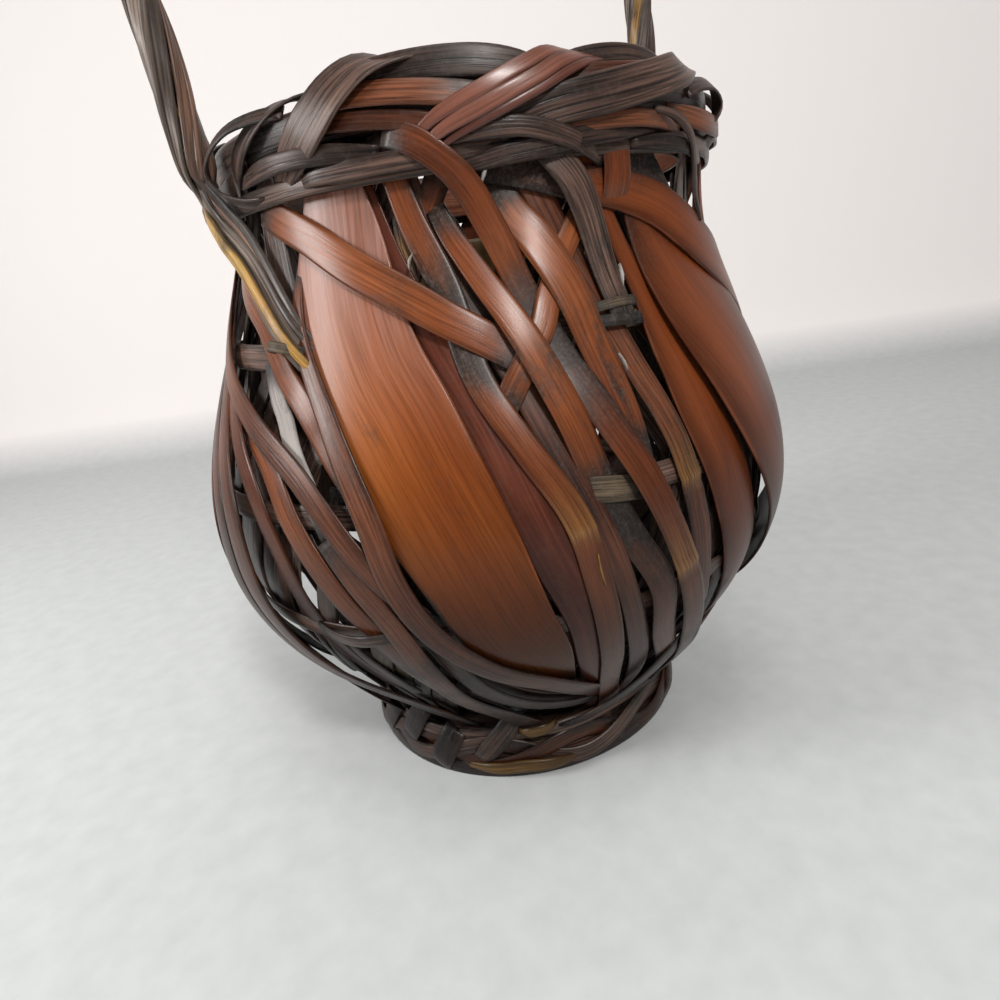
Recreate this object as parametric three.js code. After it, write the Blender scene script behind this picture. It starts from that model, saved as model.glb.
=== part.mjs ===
// An ikebana flower basket of split bamboo: slats and strips woven round three hoops, a laced rim,
// a banded foot, a twisted arch handle, and a bamboo tube inside that holds the water and lifts out.
// Millimetres, +Z up, floor at z = 0, the basket's axis on Z, the handle's arch in the XZ plane.
import * as THREE from "three";

// Outline of the woven body: radius of the main layer's outer face at each station, and its height.
const THROAT_RADIUS = 61.5;
const THROAT_HEIGHT = 18;
const BELLY_RADIUS = 109;
const BELLY_HEIGHT = 102.5;
const NECK_RADIUS = 83;
const NECK_HEIGHT = 209;
const RIM_RADIUS = 83.5;
const RIM_HEIGHT = 227;

// Bamboo strips lie in layers, one over the other, with a small gap between layers.
const STRIP_THICKNESS = 1.2;
const LAYER_GAP = 0.5;
const STRIP_WIDTH = 9;
const LAYERS = ["inner", "hoop", "under", "main", "over", "band", "lacing"];
const STEP_LENGTH = 12;
const ACROSS_LENGTH = 9;

// Hoops round the body, between the inner bands and the outer strips, at levels from foot 0 to rim 100.
const HOOP_WIDTH = 7.5;
const HOOP_LEVELS = { lower: 31.8, middle: 52, upper: 74.3 };

// Rim.
const RIM_CORE_HEIGHT = 10;
const RIM_CORE_ROUND = 2.5;
const RIM_HOOP_WIDTH = 17;
const RIM_LIP = 1;
const RIM_BAND_WIDTH = 6.5;
const RIM_BAND_GAP = 1.6;
const LACING_WIDTH = 7.5;
const LACING_WAVES = 7;
const LACING_UNDER_SWING = 3;
const LACING_OVER_SWING = 5.2;
const WAVE_STEPS = 12;

// Foot and base.
const FOOT_RADIUS = 64.5;
const FOOT_RING_WALL = 11;
const FOOT_BAND_GAP = 2.5;
const BASE_SLAT_WIDTH = 24;
const BASE_SLAT_THICKNESS = 1.6;
const BASE_SLAT_GAP = 6;

// Handle: three strands twisted together, over an arch, with tails that lie down on the body.
const STRAND_RADIUS = 2.2;
const HANDLE_TOP = 430;
const ARCH_HALF_WIDTH = 97;
const ARCH_RISE = 112;
const LEG_FOOT_DROP = 8;
const TWIST_TURNS = 2;
// Where the near leg stands, as seen from the basket's front, and so how far that front is turned from -Y.
const HANDLE_ANGLE = -60;
const FRONT_TURN = -90 - HANDLE_ANGLE;

// Water liner.
const LINER_RADIUS = 40;
const LINER_WALL = 3.5;
const LINER_FLOOR = 5;
const LINER_HEIGHT = 168;

// Clearance between pieces that seat on each other.
const SEAT_GAP = 0.35;
const RING_STEPS = 48;

const STAINED = { color: 0x5a2c14, roughness: 0.42, metalness: 0 };
const SMOKED = { color: 0x3a1c10, roughness: 0.5, metalness: 0 };
const RED_BROWN = { color: 0x6e3219, roughness: 0.4, metalness: 0 };
const DUSTY = { color: 0x473026, roughness: 0.65, metalness: 0 };
const GOLDEN = { color: 0x9a6428, roughness: 0.45, metalness: 0 };
const CULM = { color: 0x7a5a30, roughness: 0.5, metalness: 0 };

const basket = new THREE.Group();
const LAYER_PITCH = STRIP_THICKNESS + LAYER_GAP;
const outerFace = (layer) => (LAYERS.indexOf(layer) - LAYERS.indexOf("main")) * LAYER_PITCH;
const innerFace = (layer) => outerFace(layer) - STRIP_THICKNESS;
const RIM_CORE_FOOT = RIM_HEIGHT - RIM_LIP - RIM_CORE_HEIGHT;
const STRIP_TOP = RIM_CORE_FOOT - SEAT_GAP;
const STRIP_FOOT = THROAT_HEIGHT + SEAT_GAP;

function addPiece(name, geometry, finish) {
  const piece = new THREE.Mesh(geometry, new THREE.MeshStandardMaterial(finish));
  piece.name = name;
  basket.add(piece);
}

// Radius of the main layer's outer face: a sine swell from the throat up to the belly,
// a cosine sweep in to the neck, and a slight flare at the rim.
function bodyRadius(z) {
  if (z < BELLY_HEIGHT) {
    const rise = (z - THROAT_HEIGHT) / (BELLY_HEIGHT - THROAT_HEIGHT);
    return THROAT_RADIUS + (BELLY_RADIUS - THROAT_RADIUS) * Math.sin((rise * Math.PI) / 2);
  }
  if (z < NECK_HEIGHT) {
    const rise = (z - BELLY_HEIGHT) / (NECK_HEIGHT - BELLY_HEIGHT);
    return NECK_RADIUS + ((BELLY_RADIUS - NECK_RADIUS) * (1 + Math.cos(rise * Math.PI))) / 2;
  }
  return NECK_RADIUS + (RIM_RADIUS - NECK_RADIUS) * ((z - NECK_HEIGHT) / (RIM_HEIGHT - NECK_HEIGHT)) ** 2;
}

function bodySlope(z) {
  const half = 0.5;
  return (bodyRadius(z + half) - bodyRadius(z - half)) / (2 * half);
}

// A point at an angle from the front, a height, and a distance out from the body's outline.
function onBody(angle, z, out) {
  const slope = bodySlope(z);
  const length = Math.hypot(1, slope);
  const radius = bodyRadius(z) + out / length;
  const turn = THREE.MathUtils.degToRad(angle + FRONT_TURN);
  return new THREE.Vector3(radius * Math.sin(turn), -radius * Math.cos(turn), z - (out * slope) / length);
}

// Heights along a strip are given as levels: 0 on the foot's ring and 100 under the rim's core.
// The body leans out over the foot, so each layer meets the ring at its own height on the outline.
const RIM_LEVEL = 100;
const FOOT_LEVEL = 0;
const footSlant = bodySlope(STRIP_FOOT) / Math.hypot(1, bodySlope(STRIP_FOOT));
const footHeight = (layer) => STRIP_FOOT + outerFace(layer) * footSlant;
function levelHeight(level, layer) {
  if (level === FOOT_LEVEL) return footHeight(layer);
  return THREE.MathUtils.lerp(STRIP_FOOT, STRIP_TOP, level / RIM_LEVEL);
}

// Joins rows of points, each row one turn round a closed section, into a solid.
function loft(rows, closed) {
  const around = rows[0].length;
  const positions = rows.flat().flatMap((point) => point.toArray());
  const faces = [];
  const last = closed ? rows.length : rows.length - 1;
  for (let i = 0; i < last; i++) {
    const here = i * around;
    const next = ((i + 1) % rows.length) * around;
    for (let j = 0; j < around; j++) {
      const k = (j + 1) % around;
      faces.push(here + j, next + k, next + j, here + j, here + k, next + k);
    }
  }
  if (!closed) {
    const end = (rows.length - 1) * around;
    for (let j = 0; j < around / 2 - 1; j++) {
      const k = around - 1 - j;
      faces.push(j, k - 1, j + 1, j, k, k - 1);
      faces.push(end + j, end + j + 1, end + k - 1, end + j, end + k - 1, end + k);
    }
  }
  const geometry = new THREE.BufferGeometry();
  geometry.setAttribute("position", new THREE.Float32BufferAttribute(positions, 3));
  geometry.setIndex(faces);
  geometry.computeVertexNormals();
  return geometry;
}

// A flat strip bent onto the body along a path of (angle, height), in one layer.
// Its width runs square to the path, and the widths given are spread evenly along it.
// An end that stands on the foot or under the rim is cut level instead.
function ribbon(path, steps, widths, layer, { closed = false, topCut = false, footCut = false } = {}) {
  const widest = Math.max(...widths);
  const across = Math.max(1, Math.round(widest / ACROSS_LENGTH));
  const rows = [];
  const count = closed ? steps : steps + 1;
  for (let i = 0; i < count; i++) {
    const t = i / steps;
    const { x: angle, y: z } = path.getPointAt(t);
    const { x: turn, y: climb } = path.getTangentAt(t);
    const stretch = Math.hypot(1, bodySlope(z));
    const radius = bodyRadius(z);
    const round = THREE.MathUtils.degToRad(turn) * radius;
    const along = climb * stretch;
    const length = Math.hypot(round, along);
    const spot = t * (widths.length - 1);
    const from = Math.min(Math.floor(spot), Math.max(widths.length - 2, 0));
    const to = Math.min(from + 1, widths.length - 1);
    const width = THREE.MathUtils.lerp(widths[from], widths[to], spot - from);
    const level = (topCut && i === 0) || (footCut && i === steps);
    const outer = [];
    const inner = [];
    for (let j = 0; j <= across; j++) {
      const side = width * (j / across - 0.5);
      const aside = level ? (side * length) / along : (side * along) / length;
      const angleHere = angle + THREE.MathUtils.radToDeg(aside / radius);
      const heightHere = level ? z : z - (side * round) / length / stretch;
      outer.push(onBody(angleHere, heightHere, outerFace(layer)));
      inner.unshift(onBody(angleHere, heightHere, innerFace(layer)));
    }
    rows.push([...outer, ...inner]);
  }
  return loft(rows, closed);
}

// A woven strip through points of (angle, level). Its widths are in common strip widths.
function addStrip(name, finish, layer, shares, points) {
  const widths = shares.map((share) => share * STRIP_WIDTH);
  const path = new THREE.SplineCurve(
    points.map(([angle, level]) => new THREE.Vector2(angle, levelHeight(level, layer))),
  );
  let length = 0;
  for (let i = 1; i < points.length; i++) {
    const [start, stop] = [points[i - 1], points[i]].map(([angle, level]) =>
      onBody(angle, levelHeight(level, layer), 0),
    );
    length += start.distanceTo(stop);
  }
  const topCut = points[0][1] === RIM_LEVEL;
  const footCut = points.at(-1)[1] === FOOT_LEVEL;
  const steps = Math.ceil(length / STEP_LENGTH);
  addPiece(name, ribbon(path, steps, widths, layer, { topCut, footCut }), finish);
}

// A closed path round the body whose height may swing up and down.
class RoundPath extends THREE.Curve {
  constructor(z, swing = 0, waves = 0) {
    super();
    Object.assign(this, { z, swing, waves });
  }
  getPoint(t) {
    return new THREE.Vector2(360 * t, this.z + this.swing * Math.sin(2 * Math.PI * this.waves * t));
  }
  getTangent(t) {
    const climb = 2 * Math.PI * this.waves * this.swing * Math.cos(2 * Math.PI * this.waves * t);
    return new THREE.Vector2(360, climb);
  }
}

// A ring turned from a closed profile of (radius, height) corners, given counter-clockwise.
function addRing(name, corners, finish) {
  const profile = [...corners, corners[0]].map(([radius, z]) => new THREE.Vector2(radius, z));
  const ring = new THREE.LatheGeometry(profile, RING_STEPS);
  ring.rotateX(Math.PI / 2);
  addPiece(name, ring, finish);
}

// Front of the body: broad slats and narrow strips, from left to right.
addStrip("slat_broad_front", RED_BROWN, "main", [1.22, 3, 3.33, 3.33, 2.78, 1], [
  [-25, 100], [-22.5, 85], [-18.3, 72.5], [-12.7, 62],
  [-6.3, 47], [-1.2, 33.5], [5, 22], [9.5, 12], [17, 0],
]);
addStrip("slat_red_front", STAINED, "under", [0.67, 0.89, 1.56, 1.56, 1.22, 0.89], [
  [-23, 100], [-16, 87.5], [-7, 74.5], [0, 62], [6, 46], [11, 33.5], [14, 22], [18.5, 10], [25, 0],
]);
addStrip("slat_shoulder_front", STAINED, "main", [0.78, 1.22, 1.89, 1.89, 1.56], [
  [4, 94.5], [14, 93], [25, 90.5], [37, 88], [46, 84], [56, 80], [64, 76.5],
]);
addStrip("slat_broad_right", RED_BROWN, "under", [1, 2.22, 3.56, 3.56, 2.44, 1], [
  [31, 100], [41, 85], [46.5, 74.5], [51.5, 65], [57, 52.5], [63, 40], [71, 27], [80, 15], [93, 0],
]);
addStrip("slat_tapered_right", STAINED, "under", [0.44, 0.78, 1.44, 1.89, 1.67, 1], [
  [19.5, 100], [28.5, 84.5], [32.5, 74], [36.3, 62],
  [39.5, 47], [43.8, 34.5], [50, 24], [59, 12.5], [70, 0],
]);
addStrip("strip_front_1", RED_BROWN, "main", [0.67, 0.89, 0.89, 0.89, 0.89, 0.89], [
  [-15.5, 100], [-10.6, 90], [-4.2, 80], [-0.8, 69], [4.7, 59.5],
  [10.3, 49.5], [13, 38], [16, 25], [19.5, 13], [28, 0],
]);
addStrip("strip_front_2", STAINED, "under", [0.83], [
  [-14, 100], [-8, 87.5], [-1, 78], [4.2, 70.5], [9.3, 59],
  [14.3, 47], [18, 35.5], [22.3, 24], [28.5, 11.5], [37, 0],
]);
addStrip("strip_front_3", RED_BROWN, "main", [0.56, 0.94, 1, 1, 1, 0.94], [
  [-4.5, 89.5], [-1.5, 86], [4.6, 77.5], [10.2, 67], [14.4, 56.5],
  [18, 46.5], [23, 36], [27, 25], [35, 15], [46, 6.5], [52, 0],
]);
addStrip("strip_front_4", RED_BROWN, "over", [1], [
  [-9.5, 100], [-1.8, 94.5], [4.8, 84.5], [10.8, 75], [16.2, 64],
  [21.2, 54], [25.2, 44], [29, 34.5], [35, 22], [44, 10.5], [54, 0],
]);
addStrip("strip_front_5", RED_BROWN, "main", [1, 1, 0.94], [
  [8.5, 89], [12, 84], [16.6, 77.5], [19.8, 67], [22.5, 58],
]);
addStrip("strip_front_6", SMOKED, "over", [0.94], [
  [13, 100], [20, 91], [23.6, 82], [25.5, 75], [28.3, 67], [31.5, 60.5],
]);
addStrip("strip_front_7", STAINED, "under", [0.94, 0.94, 0.89], [
  [7, 100], [16, 86], [21.5, 77.5], [25.9, 67], [29.9, 56.5],
  [31.8, 45], [34, 31.5], [40, 19], [48, 9], [57, 0],
]);
addStrip("strip_cross_front", RED_BROWN, "over", [1.06], [
  [-42, 94], [-32, 90.5], [-20, 84.5], [-10, 80], [-3, 75], [2.6, 71],
]);
addStrip("strip_border_front", STAINED, "over", [0.89], [
  [-30.5, 76.5], [-25, 64.5], [-19.5, 53], [-16.6, 43], [-13, 34], [-4.5, 26.5], [4, 21.5], [11, 16],
]);
addStrip("strip_left_1", RED_BROWN, "under", [0.89], [
  [-73, 100], [-60, 86], [-46, 79], [-37.5, 71], [-29, 64],
]);
addStrip("strip_left_2", STAINED, "main", [0.89, 0.89, 0.78], [
  [-93, 100], [-78, 85], [-62, 73.5], [-48, 66.5], [-35, 59.5], [-28.5, 54], [-22.5, 47],
]);
addStrip("strip_left_3", RED_BROWN, "under", [0.94], [
  [-50, 65.5], [-41, 59.5], [-35, 50.5], [-28, 40], [-22, 31], [-17, 20], [-9, 10], [0.5, 0],
]);
addStrip("strip_left_4", SMOKED, "main", [0.89], [
  [-24, 43], [-19, 36], [-16, 27], [-13, 16], [-5, 7.5], [2.5, 0],
]);
addStrip("slat_left", RED_BROWN, "under", [0.89, 1.22, 1.67, 1.67, 1.33, 0.89], [
  [-92, 100], [-75, 82], [-60, 67], [-50, 49.5], [-45, 31.5], [-39, 20], [-30, 9.5], [-20.5, 0],
]);

// Back and sides of the body: broad slats in the main layer, with a narrow strip between each two.
const BACK_START = 102;
const BACK_PITCH = 33;
const BACK_COUNT = 6;
const BACK_RUN = [
  [-27, 100], [-19, 85], [-12, 72.5], [-6, 60], [0, 47.5], [4, 35], [9, 22], [16, 10], [24.5, 0],
];
const BACK_WIDTHS = [1, 2.44, 3.22, 3.22, 2.22, 1];
for (let i = 0; i < BACK_COUNT; i++) {
  const start = BACK_START + i * BACK_PITCH;
  const shifted = (turn) => BACK_RUN.map(([angle, level]) => [angle + turn, level]);
  addStrip(`slat_back_${i + 1}`, i % 2 ? STAINED : RED_BROWN, "main", BACK_WIDTHS, shifted(start));
  const layer = i % 2 ? "over" : "under";
  addStrip(`strip_back_${i + 1}`, STAINED, layer, [1], shifted(start + BACK_PITCH / 2));
}

// Inner bands, each of several strips side by side, running the other way, down to the left.
const INNER_COUNT = 8;
const INNER_WIDTHS = [2.3, 3.6, 5, 5, 3.6, 2.3];
const INNER_START = -5;
const INNER_RUN = [
  [34, 100], [25, 87.5], [16, 74.5], [8, 62], [0, 48], [-8, 32.5], [-15, 21], [-24, 10], [-34, 0],
];
for (let i = 0; i < INNER_COUNT; i++) {
  const start = INNER_START + (360 / INNER_COUNT) * i;
  const run = INNER_RUN.map(([angle, level]) => [angle + start, level]);
  addStrip(`inner_band_${i + 1}`, i % 3 ? SMOKED : DUSTY, "inner", INNER_WIDTHS, run);
}

// A strip laid round the body in a closed ring.
function addHoop(name, finish, layer, width, path, steps) {
  addPiece(name, ribbon(path, steps, [width], layer, { closed: true }), finish);
}

for (const [place, level] of Object.entries(HOOP_LEVELS)) {
  const path = new RoundPath(levelHeight(level, "hoop"));
  addHoop(`hoop_${place}`, SMOKED, "hoop", HOOP_WIDTH, path, RING_STEPS);
}

// Rim: a core over the strips' ends, a hoop inside it, a band outside, and two laced strips.
const rimLeast = Math.min(NECK_RADIUS, RIM_RADIUS);
const coreInside = rimLeast + innerFace("inner");
const coreOutside = rimLeast + outerFace("over");
const coreTop = RIM_CORE_FOOT + RIM_CORE_HEIGHT;
addRing("rim_core", [
  [coreInside, RIM_CORE_FOOT],
  [coreOutside, RIM_CORE_FOOT],
  [coreOutside, coreTop - RIM_CORE_ROUND],
  [coreOutside - RIM_CORE_ROUND, coreTop],
  [coreInside + RIM_CORE_ROUND, coreTop],
  [coreInside, coreTop - RIM_CORE_ROUND],
], SMOKED);
const rimHoopTop = coreTop - RIM_CORE_ROUND;
const rimHoopOutside = rimLeast + innerFace("inner") - LAYER_GAP;
addRing("rim_inner_hoop", [
  [rimHoopOutside - STRIP_THICKNESS, rimHoopTop - RIM_HOOP_WIDTH],
  [rimHoopOutside, rimHoopTop - RIM_HOOP_WIDTH],
  [rimHoopOutside, rimHoopTop],
  [rimHoopOutside - STRIP_THICKNESS, rimHoopTop],
], STAINED);
const LACING_STEPS = LACING_WAVES * WAVE_STEPS;
const lacingHeight = (swing) => RIM_HEIGHT - RIM_LIP - swing - LACING_WIDTH / 2;
const underPath = new RoundPath(lacingHeight(LACING_UNDER_SWING), LACING_UNDER_SWING, LACING_WAVES);
addHoop("rim_lacing_under", STAINED, "band", LACING_WIDTH, underPath, LACING_STEPS);
const overPath = new RoundPath(lacingHeight(LACING_OVER_SWING), -LACING_OVER_SWING, LACING_WAVES);
addHoop("rim_lacing_over", SMOKED, "lacing", LACING_WIDTH, overPath, LACING_STEPS);
const lacingFoot = RIM_HEIGHT - RIM_LIP - 2 * LACING_UNDER_SWING - LACING_WIDTH;
const bandPath = new RoundPath(lacingFoot - RIM_BAND_GAP - RIM_BAND_WIDTH / 2);
addHoop("rim_outer_hoop", STAINED, "band", RIM_BAND_WIDTH, bandPath, RING_STEPS);

// Foot: a ring that the strips' ends stand on, and two bands round it.
const footSlope = (THROAT_RADIUS - FOOT_RADIUS) / THROAT_HEIGHT;
const footOutside = (z) => FOOT_RADIUS + footSlope * z;
const footInside = THROAT_RADIUS - FOOT_RING_WALL;
const footBandWidth = (THROAT_HEIGHT - FOOT_BAND_GAP) / 2;
addRing("foot_ring", [
  [footInside, 0],
  [footOutside(0), 0],
  [footOutside(THROAT_HEIGHT), THROAT_HEIGHT],
  [footInside, THROAT_HEIGHT],
], SMOKED);
[
  { name: "foot_band_lower", low: 0, finish: RED_BROWN },
  { name: "foot_band_upper", low: footBandWidth + FOOT_BAND_GAP, finish: STAINED },
].forEach(({ name, low, finish }) => {
  const high = low + footBandWidth;
  const lowInside = footOutside(low) + LAYER_GAP;
  const highInside = footOutside(high) + LAYER_GAP;
  addRing(name, [
    [lowInside, low],
    [lowInside + STRIP_THICKNESS, low],
    [highInside + STRIP_THICKNESS, high],
    [highInside, high],
  ], finish);
});

// Base: two slats each way, crossed, on top of the foot ring and inside the strips' ends.
const innerFoot = onBody(0, footHeight("inner"), innerFace("inner"));
const baseReach = Math.hypot(innerFoot.x, innerFoot.y) - LAYER_GAP;
const slatSpacing = BASE_SLAT_WIDTH + BASE_SLAT_GAP;
const slatEdge = (slatSpacing + BASE_SLAT_WIDTH) / 2;
const slatLength = 2 * Math.sqrt(baseReach ** 2 - slatEdge ** 2);
const slatPitch = BASE_SLAT_THICKNESS + SEAT_GAP;
[0, 1].forEach((tier) => {
  [-1, 1].forEach((side) => {
    const slat = new THREE.BoxGeometry(slatLength, BASE_SLAT_WIDTH, BASE_SLAT_THICKNESS);
    const slatHeight = THROAT_HEIGHT + SEAT_GAP + tier * slatPitch + BASE_SLAT_THICKNESS / 2;
    slat.translate(0, (side * slatSpacing) / 2, slatHeight);
    slat.rotateZ((tier * Math.PI) / 2);
    addPiece(`base_slat_${tier * 2 + (side + 3) / 2}`, slat, DUSTY);
  });
});

// Handle. The strands lie round the arch's line and twist about it. Half of the arch is worked out,
// from the crown down its left leg, and the other half is that one turned half round the basket.
const strandRing = (2 * STRAND_RADIUS + LAYER_GAP) / Math.sqrt(3);
const overRim = outerFace("lacing") + LAYER_GAP + STRAND_RADIUS;
const overBody = outerFace("over") + LAYER_GAP + STRAND_RADIUS;
const legRadius = RIM_RADIUS + overRim + strandRing;
const legFoot = RIM_HEIGHT - LEG_FOOT_DROP;
const archSpring = HANDLE_TOP - ARCH_RISE;
const halfTwist = 360 * TWIST_TURNS + 30;
// Each tail's points: turn from the leg, drop below the rim's top, and how far off the body.
const TAILS = {
  low: [
    [-2.2, 18, overRim], [1.5, 29, overBody + 1], [10, 40, overBody],
    [18, 49.5, overBody], [25, 58, overBody],
  ],
  middle: [
    [0.5, 14, overRim + 4.5], [4.5, 20, overRim + 1.5], [10, 28, overBody + 1.5],
    [17, 37, overBody], [24, 48.5, overBody], [27.5, 56, overBody],
  ],
  high: [[7, 14, overRim + 0.5], [14, 21, overRim], [20.5, 31, overBody + 0.5], [27, 43, overBody]],
};

function halfStrand(phase, tail) {
  const archPoints = [];
  const ARCH_STEPS = 16;
  for (let i = 0; i <= ARCH_STEPS; i++) {
    const swing = ((1 - i / ARCH_STEPS) * Math.PI) / 2;
    archPoints.push([ARCH_HALF_WIDTH * Math.cos(swing), archSpring + ARCH_RISE * Math.sin(swing)]);
  }
  const LEG_STEPS = 9;
  for (let i = 1; i <= LEG_STEPS; i++) {
    const down = i / LEG_STEPS;
    archPoints.push([
      THREE.MathUtils.lerp(ARCH_HALF_WIDTH, legRadius, down),
      THREE.MathUtils.lerp(archSpring, legFoot, down),
    ]);
  }
  const points = archPoints.map(([out, z], i) => {
    const before = archPoints[Math.max(i - 1, 0)];
    const after = archPoints[Math.min(i + 1, archPoints.length - 1)];
    const run = new THREE.Vector2(after[0] - before[0], after[1] - before[1]).normalize();
    const turn = THREE.MathUtils.degToRad(phase + (halfTwist * i) / (archPoints.length - 1));
    const outward = strandRing * Math.cos(turn);
    const sideways = strandRing * Math.sin(turn);
    const lift = i === 0 ? [0, 1] : [-run.y, run.x];
    return new THREE.Vector3(-(out + outward * lift[0]), sideways, z + outward * lift[1]);
  });
  for (const [turn, drop, out] of TAILS[tail]) {
    points.push(onBody(HANDLE_ANGLE + turn, RIM_HEIGHT - drop, out));
  }
  return points;
}

const strandSection = new THREE.Shape();
const STRAND_SIDES = 6;
for (let i = 0; i < STRAND_SIDES; i++) {
  const turn = (2 * Math.PI * i) / STRAND_SIDES;
  const corner = [STRAND_RADIUS * Math.cos(turn), STRAND_RADIUS * Math.sin(turn)];
  if (i === 0) strandSection.moveTo(...corner);
  else strandSection.lineTo(...corner);
}
strandSection.closePath();

const STRAND_STEPS = 64;
[
  { left: [0, "middle"], right: [0, "middle"], finish: SMOKED },
  { left: [120, "low"], right: [-120, "high"], finish: GOLDEN },
  { left: [-120, "high"], right: [120, "low"], finish: STAINED },
].forEach(({ left, right, finish }, i) => {
  const leftHalf = halfStrand(...left).reverse();
  const rightHalf = halfStrand(...right).slice(1);
  rightHalf.forEach((point) => point.set(-point.x, -point.y, point.z));
  const line = new THREE.CatmullRomCurve3([...leftHalf, ...rightHalf]);
  const strand = new THREE.ExtrudeGeometry(strandSection, {
    steps: STRAND_STEPS,
    extrudePath: line,
    bevelEnabled: false,
  });
  addPiece(`handle_strand_${i + 1}`, strand, finish);
});

// Water liner: a length of bamboo tube with a closed floor, standing on the base slats.
const linerFoot = THROAT_HEIGHT + 2 * slatPitch + SEAT_GAP;
const linerTop = linerFoot + LINER_HEIGHT;
const linerBore = LINER_RADIUS - LINER_WALL;
const liner = new THREE.LatheGeometry(
  [
    [0, linerFoot],
    [LINER_RADIUS, linerFoot],
    [LINER_RADIUS, linerTop],
    [linerBore, linerTop],
    [linerBore, linerFoot + LINER_FLOOR],
    [0, linerFoot + LINER_FLOOR],
  ].map(([radius, z]) => new THREE.Vector2(radius, z)),
  RING_STEPS,
);
liner.rotateX(Math.PI / 2);
addPiece("water_liner", liner, CULM);

export default basket;
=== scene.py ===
import math

import bpy
import numpy as np
from mathutils import Matrix, Vector


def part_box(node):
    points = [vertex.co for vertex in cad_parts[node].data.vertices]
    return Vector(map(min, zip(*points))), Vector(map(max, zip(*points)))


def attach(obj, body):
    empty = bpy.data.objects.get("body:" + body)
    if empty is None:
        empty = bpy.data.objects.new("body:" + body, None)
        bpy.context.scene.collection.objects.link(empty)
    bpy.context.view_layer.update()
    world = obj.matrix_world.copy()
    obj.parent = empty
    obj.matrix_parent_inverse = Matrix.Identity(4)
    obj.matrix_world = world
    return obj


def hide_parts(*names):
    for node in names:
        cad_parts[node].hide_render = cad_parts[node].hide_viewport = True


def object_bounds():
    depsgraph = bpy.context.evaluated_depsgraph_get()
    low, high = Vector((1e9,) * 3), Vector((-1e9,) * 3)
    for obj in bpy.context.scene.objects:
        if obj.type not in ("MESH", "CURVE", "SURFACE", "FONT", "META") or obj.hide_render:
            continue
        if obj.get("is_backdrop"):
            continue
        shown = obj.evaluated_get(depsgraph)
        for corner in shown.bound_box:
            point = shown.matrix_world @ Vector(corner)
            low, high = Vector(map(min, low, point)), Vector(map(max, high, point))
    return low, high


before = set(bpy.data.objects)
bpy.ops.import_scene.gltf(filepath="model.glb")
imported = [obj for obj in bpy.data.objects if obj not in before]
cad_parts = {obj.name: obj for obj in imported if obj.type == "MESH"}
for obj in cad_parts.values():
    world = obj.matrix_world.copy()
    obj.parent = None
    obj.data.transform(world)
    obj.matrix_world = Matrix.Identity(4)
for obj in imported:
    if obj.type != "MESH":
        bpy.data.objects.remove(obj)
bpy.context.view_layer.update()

# The camera stands close in front of the basket, a little below its rim, with a short lens.
# It looks down and is held slightly askew. The front is turned 30 degrees from -Y towards -X.
FRONT_TURN = -30.0
CAMERA_DISTANCE = 0.2693
CAMERA_HEIGHT = 0.1789
CAMERA_PITCH = math.radians(18.66)
CAMERA_ROLL = math.radians(-7.91)
front = Matrix.Rotation(math.radians(FRONT_TURN), 4, "Z")
camera = bpy.data.objects.new("camera", bpy.data.cameras.new("camera"))
camera.data.sensor_width = 36.0
camera.data.lens = 24.0
camera.data.clip_start = 0.01
camera.matrix_world = (
    front
    @ Matrix.Translation((0, -CAMERA_DISTANCE, CAMERA_HEIGHT))
    @ Matrix.Rotation(math.pi / 2 - CAMERA_PITCH, 4, "X")
    @ Matrix.Rotation(CAMERA_ROLL, 4, "Z")
)
bpy.context.scene.collection.objects.link(camera)
bpy.context.scene.camera = camera

# Base: four thin slats of split bamboo, two each way, crossed and laid on the foot's ring.
# They are left rough and gather dust, and the water tube stands on them.
STEP = 0.0026
SPAN_STEPS = 20
EDGE_SHARPNESS = 3.0
BACK_FACE_RISE = 0.3
NARROW_COLUMNS = 13
BROAD_COLUMNS = 25


def catmull(points, closed=False):
    """A smooth line through the points: each span is the cubic that passes each of its ends in the
    direction from that end's neighbour before to its neighbour after, at half their distance."""
    points = np.asarray(points, float)
    if closed:
        before, start = np.roll(points, 1, 0), points
        after, beyond = np.roll(points, -1, 0), np.roll(points, -2, 0)
    else:
        padded = np.vstack([points[:1], points, points[-1:]])
        before, start, after, beyond = padded[:-3], padded[1:-2], padded[2:-1], padded[3:]
    t = np.linspace(0, 1, SPAN_STEPS, endpoint=False)[None, :, None]
    before, start, after, beyond = (rows[:, None] for rows in (before, start, after, beyond))
    leave = (after - before) / 2
    meet = (beyond - start) / 2
    cubic = (2 * start - 2 * after + leave + meet) * t**3
    cubic = cubic + (3 * after - 3 * start - 2 * leave - meet) * t**2 + leave * t + start
    dense = cubic.reshape(-1, points.shape[1])
    return dense if closed else np.vstack([dense, points[-1:]])


def even_steps(dense, places, closed=False):
    """Rows of dense at even steps of length along places, which are the same rows in space.
    Also gives the length at each row, with the whole length as one more value on a closed line."""
    if closed:
        dense = np.vstack([dense, dense[:1]])
        places = np.vstack([places, places[:1]])
    length = np.r_[0, np.cumsum(np.linalg.norm(np.diff(places, axis=0), axis=1))]
    count = max(4, math.ceil(length[-1] / STEP))
    along = np.linspace(0, length[-1], count + 1)
    rows = np.stack([np.interp(along, length, column) for column in dense.T], -1)
    return (rows[:-1] if closed else rows), along


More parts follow.
